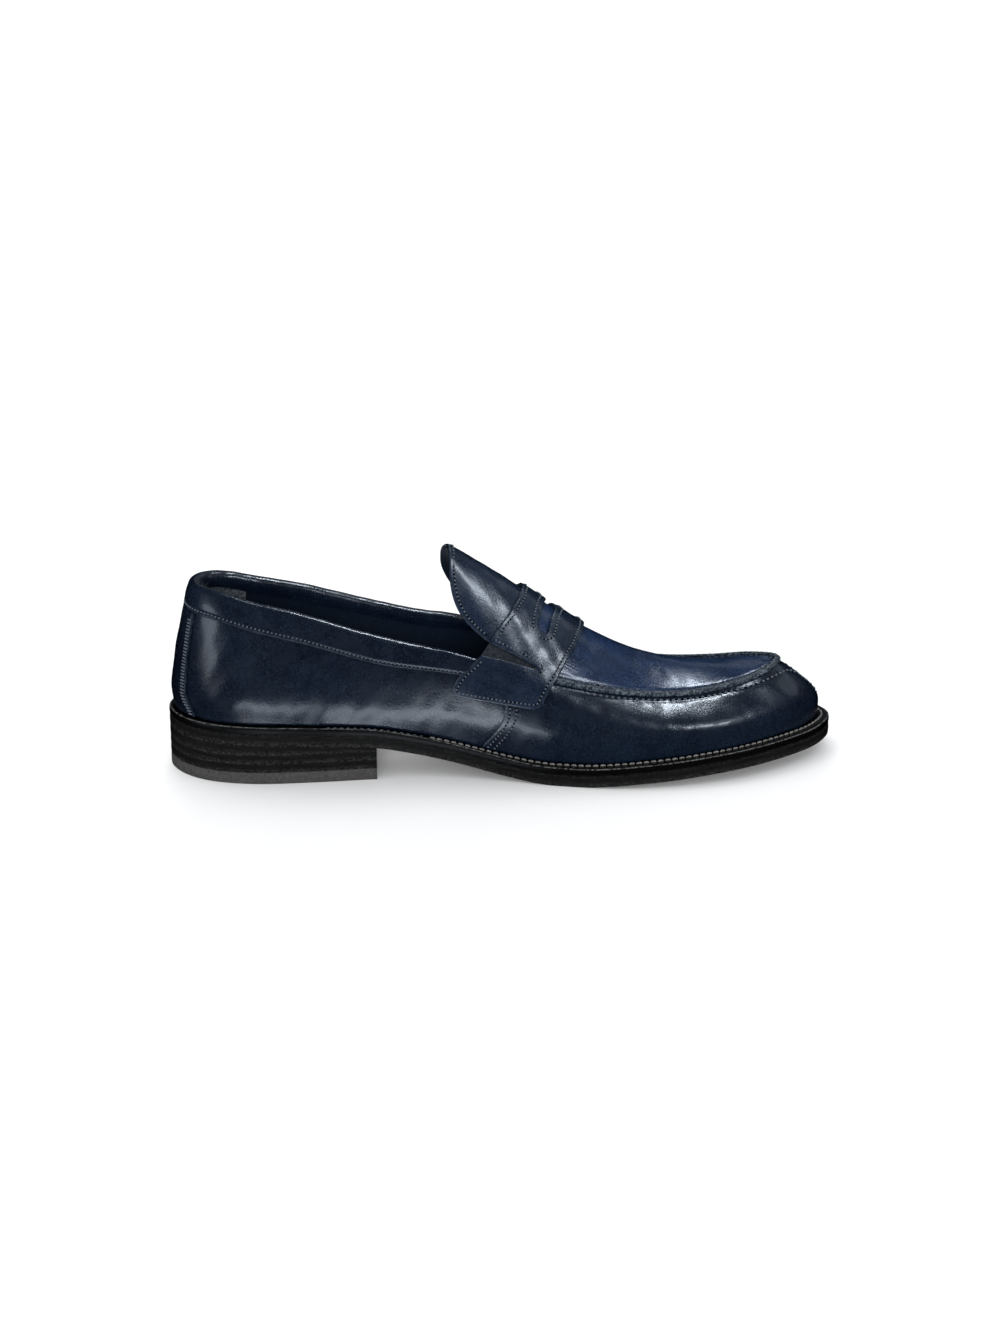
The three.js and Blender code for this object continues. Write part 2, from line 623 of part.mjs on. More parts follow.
function assemble() {
  const shoe = new THREE.Group();
  for (const [name, material, geometry] of PIECES) {
    geometry.computeVertexNormals();
    const mesh = new THREE.Mesh(geometry, new THREE.MeshStandardMaterial({
      ...MATERIALS[material], flatShading: true }));
    mesh.name = name;
    shoe.add(mesh);
  }
  const box = new THREE.Box3().setFromObject(shoe);
  const middle = box.getCenter(new THREE.Vector3());
  for (const mesh of shoe.children) mesh.geometry.translate(-middle.x, -middle.y, -box.min.z);
  return shoe;
}

export default assemble();
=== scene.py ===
"""A penny loafer in navy calf: fine leather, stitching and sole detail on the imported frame."""
import math

import bmesh
import bpy
import numpy as np
from mathutils import Matrix, Vector
from mathutils.geometry import delaunay_2d_cdt


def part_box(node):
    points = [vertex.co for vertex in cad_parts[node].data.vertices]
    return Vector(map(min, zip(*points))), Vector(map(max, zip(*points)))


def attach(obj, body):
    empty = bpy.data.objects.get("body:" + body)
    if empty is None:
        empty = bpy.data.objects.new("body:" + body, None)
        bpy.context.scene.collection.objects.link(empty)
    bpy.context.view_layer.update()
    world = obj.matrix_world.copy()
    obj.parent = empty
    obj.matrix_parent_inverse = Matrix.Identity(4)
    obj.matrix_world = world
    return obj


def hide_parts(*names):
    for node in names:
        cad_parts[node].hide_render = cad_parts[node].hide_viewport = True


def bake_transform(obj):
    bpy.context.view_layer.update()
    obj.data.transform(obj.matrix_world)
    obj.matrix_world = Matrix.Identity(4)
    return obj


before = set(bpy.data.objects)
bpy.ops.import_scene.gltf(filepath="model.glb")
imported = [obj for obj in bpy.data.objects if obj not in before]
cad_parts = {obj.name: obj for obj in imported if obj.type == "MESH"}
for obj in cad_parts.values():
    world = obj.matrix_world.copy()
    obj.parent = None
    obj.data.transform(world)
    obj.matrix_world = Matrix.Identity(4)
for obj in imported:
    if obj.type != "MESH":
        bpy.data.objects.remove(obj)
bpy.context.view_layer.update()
MM = 0.001

# ---- The shoe's rails, in millimetres from the back of the heel: the rows of the CAD model ----
# [x, middle y, half width, z] from the heel's back to the toe's tip.
OUTLINE = [
    [0, 0, 0, 0], [5.5, 0, 15.5, 0], [18, 0, 26.8, 0], [38, 0, 32.7, 0], [66, -0.3, 32.3, 0],
    [95, -1.2, 29.3, 0], [122, -1.5, 29.3, 0], [150, -1.6, 34.6, 0], [178, -1.8, 42.4, 0],
    [206, -1.8, 47.6, 0], [234, -0.8, 47.2, 0], [261, 1, 41.6, 0], [284.5, 3, 30.8, 0],
    [301.3, 4.5, 17.2, 0], [309, 5, 0, 0],
]
WIDEST = [
    [3.3, 0, 0, 40], [8, 0, 14.4, 41], [19, 0, 24.8, 42], [38, 0, 30.5, 43], [66, -0.3, 30.3, 42],
    [95, -1.2, 27.6, 39], [122, -1.5, 27.6, 34], [150, -1.6, 32, 29.5], [178, -2, 38.5, 26.5],
    [206, -2, 42.5, 24.5], [232.5, -0.8, 42, 23.8], [257.5, 1, 36.4, 24], [279, 3, 26.8, 25.2],
    [295.2, 4.3, 14.9, 26], [302.6, 4.8, 0, 26],
]
TOPLINE = [
    [12.6, 0, 0, 86], [15.5, 0, 10.2, 85.8], [24, 0, 17, 84.5], [40, 0, 21.5, 80.3],
    [64, 0, 24.2, 74.6], [90, 0, 26.6, 66.8], [116, 0, 27.8, 60.2], [142, 0, 30.5, 55.6],
    [166, 0, 31.6, 49.2], [192, 0.3, 30.8, 41.8], [214, 1, 28, 37.2], [236, 2, 25, 35.4],
    [255.5, 2.8, 20.5, 36.6], [272.6, 3.2, 13.6, 39.6], [283, 3.3, 0, 42.4],
]
CREST = [
    [24, 0, 124], [28, 0, 123.5], [35, 0, 122], [50, 0, 120], [72, 0, 119], [95, 0, 116.2],
    [118, 0, 108.8], [140, 0, 96], [163, 0, 80.7], [190, 0.3, 62.4], [213, 1, 50.4],
    [236, 2, 43.4], [255.5, 2.8, 41], [272, 3.2, 41.8], [283, 3.3, 42.4],
]
SOLE_PROFILE = [
    [0, 19.3], [20, 19], [40, 18.6], [60, 17.8], [80, 16.6], [95, 15.2], [110, 12.4], [125, 9.2],
    [140, 5.8], [150, 3.4], [160, 1.5], [168, 0.4], [176, 0], [187, 0], [200, 0.9], [213, 2],
    [230, 3.2], [250, 4.5], [280, 5.6], [309, 6],
]
OUTSOLE, WELT, PLY_GAP, GAP = 4.9, 3.3, 0.5, 0.3
WELT_BOTTOM = OUTSOLE + PLY_GAP
WELT_TOP = WELT_BOTTOM + WELT
LEATHER, STIFFENER, LINING, OVERLAY = 1.3, 0.8, 0.9, 1.2
LINING_DEPTH = LEATHER + STIFFENER + 2 * PLY_GAP
STRAP_REAR = [
    [1.34, 0.454], [1.56, 0.458], [1.8, 0.476], [2.11, 0.505], [2.52, 0.549], [2.75, 0.566],
    [3, 0.571],
]
STRAP_FRONT = [
    [1.34, 0.556], [1.7, 0.58], [2.25, 0.617], [2.5, 0.633], [2.8, 0.644], [3, 0.647],
]
TAB_BOTTOM = 1.34
PER_AROUND, PER_AROUND_AT_STRAP = 300, 290  # roughly how many mm one step of around covers


# ---- Curves and the surface of the upper ----

def smoothstep(value, low, high):
    t = np.clip((np.asarray(value, float) - low) / (high - low), 0, 1)
    return t * t * (3 - 2 * t)


def smooth_line(rows):
    """A function of x through rows of [x, y] that never overshoots a row."""
    xs, ys = np.array(rows, float).T
    slopes = np.diff(ys) / np.diff(xs)
    before = np.concatenate([slopes[:1], slopes])
    after = np.concatenate([slopes, slopes[-1:]])
    steady = before * after > 0
    tangents = np.where(steady, 2 * before * after / np.where(steady, before + after, 1), 0)

    def value(x):
        i = np.clip(np.searchsorted(xs, x) - 1, 0, len(xs) - 2)
        length = xs[i + 1] - xs[i]
        t = np.clip((x - xs[i]) / length, 0, 1)
        rise = ys[i] * (1 + 2 * t) * (1 - t) ** 2 + ys[i + 1] * t * t * (3 - 2 * t)
        return rise + length * (tangents[i] * t * (1 - t) ** 2 - tangents[i + 1] * t * t * (1 - t))
    return value


def spline_piece(p0, p1, p2, p3, t):
    """The stretch from p1 to p2 of a centripetal Catmull-Rom spline."""
    spans = [np.sqrt(np.linalg.norm(b - a, axis=-1))[..., None] for a, b in ((p0, p1), (p1, p2), (p2, p3))]
    middle = np.where(spans[1] < 1e-4, 1, spans[1])
    first = np.where(spans[0] < 1e-4, middle, spans[0])
    last = np.where(spans[2] < 1e-4, middle, spans[2])
    out = ((p1 - p0) / first - (p2 - p0) / (first + middle) + (p2 - p1) / middle) * middle
    into = ((p2 - p1) / middle - (p3 - p1) / (middle + last) + (p3 - p2) / last) * middle
    t = t[..., None]
    return (p1 + out * t + (3 * (p2 - p1) - 2 * out - into) * t ** 2
            + (2 * (p1 - p2) + out + into) * t ** 3)


def rail(rows):
    """A closed line round the shoe; around is 0 at the heel, 1 at the toe and negative on the inner side."""
    table = np.array(rows, float)
    lateral = np.stack([table[:, 0], table[:, 1] - table[:, 2], table[:, 3]], 1)
    medial = np.stack([table[:, 0], table[:, 1] + table[:, 2], table[:, 3]], 1)
    loop = np.concatenate([lateral, medial[-2:0:-1]])

    def place(around):
        at = (np.asarray(around, float) / 2 % 1) * len(loop)
        i = np.floor(at).astype(int) % len(loop)
        near = [loop[(i + k) % len(loop)] for k in (-1, 0, 1, 2)]
        return spline_piece(*near, at - np.floor(at))
    return place


def open_spline(points, at):
    """The place `at`, counted in points, on an open spline; points is (n, ..., 3)."""
    last = len(points) - 1
    padded = np.concatenate([2 * points[:1] - points[1:2], points, 2 * points[-1:] - points[-2:-1]])
    i = np.clip(np.floor(at).astype(int), 0, last - 1)
    if points.ndim == 2:
        near = [padded[i + k] for k in range(4)]
    else:
        near = [np.take_along_axis(padded, (i + k)[None, ..., None], 0)[0] for k in range(4)]
    return spline_piece(*near, at - i)


sole_bottom = smooth_line(SOLE_PROFILE)
outline = rail(OUTLINE)
widest = rail(WIDEST)
topline = rail(TOPLINE)


def from_heel(around):
    """0 at the heel's back and 1 at the toe's tip on either side."""
    return 1 - np.abs(1 - np.asarray(around, float) % 2)


def crest(around):
    return open_spline(np.array(CREST, float), from_heel(around) * (len(CREST) - 1))


LEDGE_AT_BACK = 3.8
LEDGE_CHANGES = [(-0.8, 0.06, 0.16), (3.4, 0.35, 0.6), (-1, 0.85, 1)]  # by, from and to


def ledge(around):
    """How far the upper stands in from the sole's edge."""
    place = from_heel(around)
    return LEDGE_AT_BACK + sum(
        by * smoothstep(place, start, end) for by, start, end in LEDGE_CHANGES)


def outline_point(around, inset):
    step = 0.001
    along = outline(np.asarray(around) + step) - outline(np.asarray(around) - step)
    along /= np.linalg.norm(along, axis=-1, keepdims=True)
    inward = np.stack([-along[..., 1], along[..., 0], 0 * along[..., 0]], -1)
    return outline(around) + inward * np.asarray(inset, float)[..., None]


def over_sole(point, height):
    point = point.copy()
    point[..., 2] = sole_bottom(point[..., 0]) + height
    return point


def feather(around):
    return over_sole(outline_point(around, ledge(around)), WELT_TOP + GAP)


def surface_point(around, up):
    around, up = np.broadcast_arrays(np.asarray(around, float), np.asarray(up, float))
    rails = np.stack([
        feather(around), widest(around), topline(around), crest(around),
        topline(-around), widest(-around), feather(-around),
    ])
    return open_spline(rails, np.clip(up, 0, 6))


def slope_normal(around, up):
    along = surface_point(around + 0.004, up) - surface_point(around - 0.004, up)
    rising = surface_point(around, up + 0.01) - surface_point(around, up - 0.01)
    normal = np.cross(along, rising)
    return normal / np.maximum(np.linalg.norm(normal, axis=-1, keepdims=True), 1e-9)


def surface_normal(around, up):
    around, up = np.broadcast_arrays(np.asarray(around, float), np.asarray(up, float))
    before_tip = 0.99
    near = np.abs(np.abs(around) - 1) < 1 - before_tip
    if not near.any():
        return slope_normal(around, up)
    side = np.where(around < 1, up, 6 - up)
    safe = np.where(near, before_tip, around)
    plain = slope_normal(safe, np.where(near, side, up))
    other = slope_normal(np.full_like(around, before_tip), 6 - side)
    share = np.where(near, 0.5 * (1 - np.abs(1 - np.abs(around)) / (1 - before_tip)), 0)[..., None]
    mixed = plain * (1 - share) + other * share
    return mixed / np.linalg.norm(mixed, axis=-1, keepdims=True)


def upper_point(around, up, depth):
    normal = surface_normal(around, up)
    return surface_point(around, up) + normal * np.asarray(depth, float)[..., None]


def below_topline(around, length):
    """How much of up a length in mm below the topline is."""
    return length / np.linalg.norm(topline(around) - widest(around), axis=-1)


# The part's own frame, from the heel's back to the row's origin.
sole_corner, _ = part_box("outsole")
sole_ring = outline(np.arange(56) / 28)
SHIFT = np.array([sole_corner[k] - sole_ring[:, k].min() * MM for k in (0, 1)] + [0])


def to_frame(points):
    return np.asarray(points) * MM + SHIFT


# ---- Lines on the surface ----

def unit(vectors):
    return vectors / np.maximum(np.linalg.norm(vectors, axis=-1, keepdims=True), 1e-12)


def travelled(points):
    """The length of a line up to each of its points."""
    return np.concatenate([[0], np.cumsum(np.linalg.norm(np.diff(points, axis=0), axis=1))])


def read_off(at, known, values):
    """Each column of values, known at `known`, read at `at`."""
    return np.stack([np.interp(at, known, column) for column in values.T], -1)


def evenly(line, step):
    """A line on the surface, rows of [around, up], with a point every `step` millimetres."""
    line = np.asarray(line, float)
    dense = read_off(np.linspace(0, len(line) - 1, 12 * len(line)), np.arange(len(line)), line)
    length = travelled(surface_point(*dense.T))
    return read_off(np.linspace(0, length[-1], max(2, round(length[-1] / step) + 1)), length, dense)


def moved(line, direction, distance):
    """The line moved over the surface by `distance` mm along 3-D directions that lie in it."""
    around, up = line[:, 0], line[:, 1]
    step_around, step_up = 0.002, 0.01
    per_around = surface_point(around + step_around, up) - surface_point(around - step_around, up)
    per_up = surface_point(around, up + step_up) - surface_point(around, up - step_up)
    per_around, per_up = per_around / (2 * step_around), per_up / (2 * step_up)
    aim = direction * distance
    aa, ab, bb = ((a * b).sum(-1) for a, b in (
        (per_around, per_around), (per_around, per_up), (per_up, per_up)))
    ra, rb = (per_around * aim).sum(-1), (per_up * aim).sum(-1)
    scale = aa * bb - ab * ab
    return line + np.stack([bb * ra - ab * rb, aa * rb - ab * ra], 1) / scale[:, None]


def beside(line, distance, closed=False):
    """The line `distance` mm to the left of a line, seen from outside the shoe."""
    path = surface_point(*line.T)
    if closed:
        along = np.roll(path, -1, 0) - np.roll(path, 1, 0)
    else:
        along = np.gradient(path, axis=0)
    left = np.cross(surface_normal(*line.T), unit(along))
    return moved(line, unit(left), distance)


def nearest(points, line):
    """For each point, its distance to a dense 3-D line and the length along it to the closest place."""
    length = travelled(line)
    distances = np.empty(len(points))
    lengths = np.empty(len(points))
    chunk = 4000
    for start in range(0, len(points), chunk):
        part = points[start:start + chunk]
        gaps = ((part[:, None] - line[None]) ** 2).sum(-1)
        closest = gaps.argmin(1)
        distances[start:start + chunk] = np.sqrt(gaps[np.arange(len(part)), closest])
        lengths[start:start + chunk] = length[closest]
    return distances, lengths


# ---- Meshes ----

RIM = 0.45  # the radius that cut leather edges are rounded to
RIM_STEPS = (0, 0.07, 0.2, 0.45, 0.9)
WORN_AND_HIGHLIGHT_RIM = 0.8  # how far in from a rim the leather is painted lighter, as rubbed wear and a painted highlight
THINNEST = 0.1


def rim_drop(distance, radius=RIM):
    """How far a rounded edge sinks at a distance from the rim."""
    inward = np.clip(1 - distance / radius, 0, 1)
    return radius * (1 - np.sqrt(1 - inward ** 2))


def placed(name, data):
    thing = bpy.data.objects.new(name, data)
    bpy.context.scene.collection.objects.link(thing)
    return thing


def make(name, points, faces, finishes, attributes=None, kinds=None):
    """A smooth mesh object from places in millimetres; `kinds` says which finish each face takes."""
    mesh = bpy.data.meshes.new(name)
    mesh.from_pydata(to_frame(points).tolist(), [], [list(map(int, face)) for face in faces])
    if kinds is not None:
        mesh.polygons.foreach_set("material_index", kinds)
    for title, values in (attributes or {}).items():
        layer = mesh.attributes.new(title, "FLOAT", "POINT")
        layer.data.foreach_set("value", np.asarray(values, np.float32))
    mesh.validate()
    shape = bmesh.new()
    shape.from_mesh(mesh)
    bmesh.ops.remove_doubles(shape, verts=shape.verts, dist=2e-6)
    bmesh.ops.recalc_face_normals(shape, faces=shape.faces)
    for face in shape.faces:
        face.smooth = True
    shape.to_mesh(mesh)
    shape.free()
    for finish in finishes if isinstance(finishes, tuple) else (finishes,):
        mesh.materials.append(finish)
    return placed(name, mesh)


def closed_sheet(name, outer, inner, faces, finish, wear):
    """A solid between two sheets of the same faces, closed along every open edge."""
    count = len(outer)
    sides = dict.fromkeys((int(a), int(b)) for face in faces for a, b in zip(face, np.roll(face, -1)))
    walls = [(b, a, a + count, b + count) for a, b in sides if (b, a) not in sides]
    under = [tuple(int(v) + count for v in face[::-1]) for face in faces]
    return make(name, np.concatenate([outer, inner]), [*faces, *under, *walls], finish,
                {"wear": np.concatenate([wear, wear])})


def shaped_sheet(name, around, up, top, bottom, distance, relief, faces, finish):
    """Leather from `bottom` to `top` off the surface, rounded by its distance from the rim."""
    base = surface_point(around, up)
    depth = top - rim_drop(distance)
    if relief:
        depth = depth + relief(around, up, base)
    normal = surface_normal(around, up)
    outer = base + normal * depth[:, None]
    inner = base + normal * np.minimum(depth - THINNEST, bottom)[:, None]
    # This mask paints the rims lighter: rubbed wear and a painted highlight.
    return closed_sheet(name, outer, inner, faces, finish, np.exp(-(distance / WORN_AND_HIGHLIGHT_RIM) ** 2))


def grid_faces(rows, columns):
    i, j = np.meshgrid(np.arange(rows - 1), np.arange(columns - 1), indexing="ij")
    a = (i * columns + j).ravel()
    return np.stack([a, a + columns, a + columns + 1, a + 1], 1)


def grid_lines(length, step, low_rim, high_rim):
    """Values from 0 to 1 about `step` mm apart, closer together beside a rounded rim."""
    inner = list(np.linspace(0, 1, max(2, round(length / step)) + 1))
    near = [s / length for s in RIM_STEPS[1:]]
    beyond = (RIM_STEPS[-1] + 0.3 * step) / length
    if low_rim:
        inner = [0, *near, *[t for t in inner if t > beyond]]
    if high_rim:
        inner = [*[t for t in inner if t < 1 - beyond], *[1 - t for t in near[::-1]], 1]
    return np.array(inner)


def grid_patch(name, place, top, bottom, finish, step=1.1, rims="", relief=None):
    """A piece of leather between four edges. place(u, v) gives around and up for u and v from 0 to 1,
    and rims names the edges that are rounded: a and b at the ends of u, c and d at the ends of v."""
    across = np.linspace(0, 1, 60)
    middle = np.full_like(across, 0.5)
    along_u = travelled(surface_point(*place(across, middle)))[-1]
    along_v = travelled(surface_point(*place(middle, across)))[-1]
    us = grid_lines(along_u, step, "a" in rims, "b" in rims)
    vs = grid_lines(along_v, step, "c" in rims, "d" in rims)
    u, v = (values.ravel() for values in np.meshgrid(us, vs, indexing="ij"))
    around, up = place(u, v)
    shaped = surface_point(around, up).reshape(len(us), len(vs), 3)
    run_u, run_v = (
        np.insert(np.cumsum(np.linalg.norm(np.diff(shaped, axis=k), axis=2), axis=k), 0, 0, axis=k)
        for k in (0, 1))
    distances = {"a": run_u, "b": run_u[-1:] - run_u, "c": run_v, "d": run_v[:, -1:] - run_v}
    distance = np.full(len(u), 1e3)
    for rim in rims:
        distance = np.minimum(distance, distances[rim].ravel())
    faces = grid_faces(len(us), len(vs))
    return shaped_sheet(name, around, up, top, bottom, distance, relief, faces, finish)


FLAT = np.array([350.0, 27.0])  # spreads around and up out to about millimetres for meshing


def inside(points, loop):
    """Which flat points lie inside a closed loop."""
    x, y = points[:, :1], points[:, 1:]
    ax, ay = loop[:, 0], loop[:, 1]
    bx, by = np.roll(ax, -1), np.roll(ay, -1)
    crossing = (ay > y) != (by > y)
    at = (bx - ax) * (y - ay) / np.where(by == ay, 1, by - ay) + ax
    return (crossing & (x < at)).sum(1) % 2 == 1


def within(points, loops):
    """Which flat points lie inside the first loop and outside the holes that follow it."""
    return inside(points, loops[0]) & ~np.any([inside(points, hole) for hole in loops[1:]], axis=0)


def cut_patch(name, loops, top, bottom, finish, step=1.2, relief=None):
    """A piece cut to free outlines. loops are closed lines of [around, up] that run counter-clockwise
    seen from outside, and holes clockwise."""
    loops = [evenly(np.concatenate([loop, loop[:1]]), 0.8)[:-1] for loop in loops]
    edge = np.concatenate(loops)
    edge_places = surface_point(*edge.T)
    rims = [edge]
    gaps = [np.zeros(len(edge))]
    for gap in RIM_STEPS[1:]:
        rims.append(np.concatenate([beside(loop, gap, closed=True) for loop in loops]))
        gaps.append(np.full(len(edge), gap))
    low_corner, high_corner = edge.min(0), edge.max(0)
    axes = [np.arange(a, b, step / size) for a, b, size in zip(low_corner, high_corner, FLAT)]
    grid = np.stack([values.ravel() for values in np.meshgrid(*axes, indexing="ij")], 1)
    grid = grid[within(grid, loops)]
    grid_gap, _ = nearest(surface_point(*grid.T), edge_places)
    clear = grid_gap > RIM_STEPS[-1] + 0.5 * step
    flat = np.concatenate([*rims, grid[clear]])
    distance = np.concatenate([*gaps, grid_gap[clear]])
    sides = []
    start = 0
    for loop in loops:
        ring = np.arange(start, start + len(loop))
        sides += list(zip(ring.tolist(), np.roll(ring, -1).tolist()))
        start += len(loop)
    found = delaunay_2d_cdt([Vector(p) for p in flat * FLAT], sides, [], 0, 1e-6, True)
    origins = [ids[0] if ids else 0 for ids in found[3]]
    faces = np.array([[origins[v] for v in face] for face in found[2] if len(face) == 3])
    faces = faces[within(flat[faces].mean(1), loops)]
    return shaped_sheet(name, *flat.T, top, bottom, distance, relief, faces, finish)


def full_turn(count):
    return 2 * math.pi * np.arange(count) / count


def tube_faces(rings, sides):
    """The faces of a closed tube whose rings of points follow each other."""
    faces = [tuple(range(sides))[::-1], tuple(range((rings - 1) * sides, rings * sides))]
    for i in range(rings - 1):
        for k in range(sides):
            a, b = i * sides + k, i * sides + (k + 1) % sides
            faces.append((a, b, b + sides, a + sides))
    return faces


def repeated(faces, count, each, first=0):
    return [tuple(v + first + k * each for v in face) for k in range(count) for face in faces]


def stitch_row(name, path, normals, finish, pitch=1.9, thickness=0.8, share=0.52, hole=0.5):
    """Stitches along a 3-D path that lies on the leather, and between them near-black double cones that paint
    the shade inside the needle holes.

    The thread covers `share` of the pitch, and `hole` is a needle hole's radius.
    """
    sides, rings, rim = 6, 7, 8
    sunk, hole_top, hole_bottom = 0.32, 0.07, -0.3
    length = travelled(path)
    count = max(1, round(length[-1] / pitch))
    pitch = length[-1] / count

    def at(places):
        return read_off(places, length, path), unit(read_off(places, length, normals))
    t = np.linspace(-1, 1, rings)
    centre, normal = at(((np.arange(count) + 0.5) * pitch)[:, None] + 0.5 * share * pitch * t[None])
    sideways = np.cross(unit(np.gradient(centre, axis=1)), normal)
    radius = 0.5 * thickness * np.sqrt(np.clip(1 - np.abs(t) ** 5, 0.02, 1))[None, :, None, None]
    centre = centre + normal * (0.25 * thickness - sunk * np.abs(t) ** 3)[None, :, None]
    turn = full_turn(sides)[None, None, :, None]
    threads = (centre[:, :, None] + radius * np.cos(turn) * sideways[:, :, None]
               + radius * np.sin(turn) * normal[:, :, None]).reshape(-1, 3)
    # The needle holes are solid near-black cones: painted shade, not openings.
    middle, out = at(np.arange(count + 1) * pitch)
    across = np.cross(unit(np.gradient(middle, axis=0)), out)
    ahead = np.cross(out, across)
    spin = full_turn(rim)[None, :, None]
    disc = middle[:, None] + hole * (np.cos(spin) * ahead[:, None] + np.sin(spin) * across[:, None])
    tips = [(middle + height * out)[:, None] for height in (hole_top, hole_bottom)]
    holes = np.concatenate([disc, *tips], 1)
    cone = [(k, (k + 1) % rim, rim) for k in range(rim)] + [((k + 1) % rim, k, rim + 1) for k in range(rim)]
    thread_faces = repeated(tube_faces(rings, sides), count, sides * rings)
    hole_faces = repeated(cone, count + 1, rim + 2, len(threads))
    kinds = [0] * len(thread_faces) + [1] * len(hole_faces)
    return make(name, np.concatenate([threads, holes.reshape(-1, 3)]), [*thread_faces, *hole_faces],
                (finish, HOLE_SHADE), kinds=kinds)


def stitches_on(name, line, depth, finish, **sizes):
    """Stitches along a line of [around, up], on leather whose outside is `depth` out."""
    line = evenly(line, 0.5)
    path = upper_point(*line.T, np.full(len(line), depth))
    return stitch_row(name, path, surface_normal(*line.T), finish, **sizes)


def ring_solid(name, rings, wear, finish, caps=(True, True), closed=False):
    """A solid from closed rings of points, one after another; rings is (steps, points, 3), wear has
    a value for each point of a ring: how much lighter it is painted, as rubbed wear and a painted highlight;
    caps says whether the first and last rings are closed off."""
    steps, count = rings.shape[:2]
    faces = []
    for i in range(steps if closed else steps - 1):
        for k in range(count):
            a, b = i * count + k, i * count + (k + 1) % count
            c = (i + 1) % steps * count
            faces.append((a, b, c + (k + 1) % count, c + k))
    if caps[0]:
        faces.append(tuple(range(count))[::-1])
    if caps[1]:
        faces.append(tuple(range((steps - 1) * count, steps * count)))
    return make(name, rings.reshape(-1, 3), faces, finish, {"wear": np.tile(wear, steps)})


# ---- Materials ----

class Shader:
    """A node material, with short ways to add the nodes that the finishes share."""

    def __init__(self, name):
        self.finish = bpy.data.materials.new(name)
        self.finish.use_nodes = True
        self.tree = self.finish.node_tree
        self.surface = self.tree.nodes["Principled BSDF"]
        self.place = self.add("ShaderNodeTexCoord").outputs["Object"]

    def add(self, kind, inputs=None, **settings):
        node = self.tree.nodes.new(kind)
        for key, value in settings.items():
            setattr(node, key, value)
        for key, value in (inputs or {}).items():
            self.set(node.inputs[key], value)
        return node

    def set(self, socket, value):
        if isinstance(value, bpy.types.NodeSocket):
            self.tree.links.new(value, socket)
        else:
            socket.default_value = value

    def noise(self, size, detail=3, roughness=0.55):
        """Cloudy noise from 0 to 1 whose spots are about `size` millimetres."""
        return self.add("ShaderNodeTexNoise", {
            "Vector": self.place, "Scale": 1 / (size * MM), "Detail": detail, "Roughness": roughness,
        }).outputs["Fac"]

    def cells(self, size, smooth=0.6):
        """The distance to the nearest of cells about `size` millimetres wide."""
        return self.add("ShaderNodeTexVoronoi", {
            "Vector": self.place, "Scale": 1 / (size * MM), "Smoothness": smooth,
        }, feature="SMOOTH_F1").outputs["Distance"]

    def attribute(self, name):
        return self.add("ShaderNodeAttribute", attribute_name=name).outputs["Fac"]

    def ranged(self, value, low, high, to_low=0.0, to_high=1.0):
        return self.add("ShaderNodeMapRange", {
            "Value": value, "From Min": low, "From Max": high, "To Min": to_low, "To Max": to_high,
        }).outputs["Result"]

    def times(self, a, b):
        return self.add("ShaderNodeMath", {0: a, 1: b}, operation="MULTIPLY").outputs[0]

    def plus(self, a, b):
        return self.add("ShaderNodeMath", {0: a, 1: b}, operation="ADD").outputs[0]

    def mixed(self, factor, a, b):
        node = self.add("ShaderNodeMix", data_type="RGBA")
        self.set(node.inputs["Factor"], factor)
        for name, value in (("A", a), ("B", b)):
            socket = [s for s in node.inputs if s.name == name and s.type == "RGBA"][0]
            self.set(socket, value if isinstance(value, bpy.types.NodeSocket) else (*value, 1))
        return [s for s in node.outputs if s.type == "RGBA"][0]

    def bump(self, height, depth, under=None):
        inputs = {"Height": height, "Strength": 1.0, "Distance": depth * MM}
        if under is not None:
            inputs["Normal"] = under
        return self.add("ShaderNodeBump", inputs).outputs["Normal"]

    def done(self, **inputs):
        for key, value in inputs.items():
            socket = self.surface.inputs[key.replace("_", " ")]
            self.set(socket, (*value, 1) if isinstance(value, tuple) else value)
        return self.finish


def calf(name, dark, light, worn_and_highlight, gloss=1.0):
    """Polished calf: two shades in clouds, darker pores, lighter specks that paint glints off the grain,
    lighter rims that are rubbed wear and a painted highlight, and a fine grain.
    """
    s = Shader(name)
    clouds = s.ranged(s.plus(s.times(s.noise(38, 2), 0.55), s.times(s.noise(7, 4, 0.65), 0.45)), 0.38, 0.62)
    grain = s.cells(1.3)
    specks = s.noise(1.1, 3, 0.75)
    colour = s.mixed(clouds, dark, light)
    colour = s.mixed(s.ranged(specks, 0.3, 0.6, 0.4, 0.0), colour, tuple(0.35 * c for c in dark))
    # Lighter specks: painted highlights that stand in for glints off the grain.
    colour = s.mixed(s.ranged(specks, 0.5, 0.75, 0.0, 0.4), colour, tuple(2 * c for c in light))
    # Lighter rims: rubbed wear, and a painted highlight along rounded cut edges such as the collar's lower
    # edge.
    rubbed_and_highlight = s.times(s.attribute("wear"), s.ranged(s.noise(2.5, 3), 0.35, 0.7, 0.0, 0.8))
    colour = s.mixed(rubbed_and_highlight, colour, worn_and_highlight)
    rough = s.plus(s.ranged(s.noise(14, 3), 0.3, 0.7, 0.17, 0.25), s.times(specks, 0.14))
    normal = s.bump(grain, 0.03, s.bump(specks, 0.06, s.bump(s.noise(0.35, 2), 0.015)))
    return s.done(Base_Color=colour, Roughness=rough, Normal=normal, Specular_IOR_Level=0.5 * gloss,
                  Coat_Weight=0.2 * gloss, Coat_Roughness=0.14)


def plain_finish(name, dark, light, size, rough=0.7, depth=0.08, specular=0.3, sheen=0.0,
                 spread=(0.3, 0.7)):
    """A finish of two shades in spots of `size` millimetres, with a bump of the same spots."""
    s = Shader(name)
    spots = s.noise(size, 4, 0.6)
    colour = s.mixed(s.ranged(spots, *spread), dark, light)
    roughness = s.ranged(s.noise(4 * size, 2), 0.3, 0.7, rough - 0.08, rough + 0.08)
    return s.done(Base_Color=colour, Roughness=roughness, Normal=s.bump(spots, depth),
                  Specular_IOR_Level=specular, Sheen_Weight=sheen)


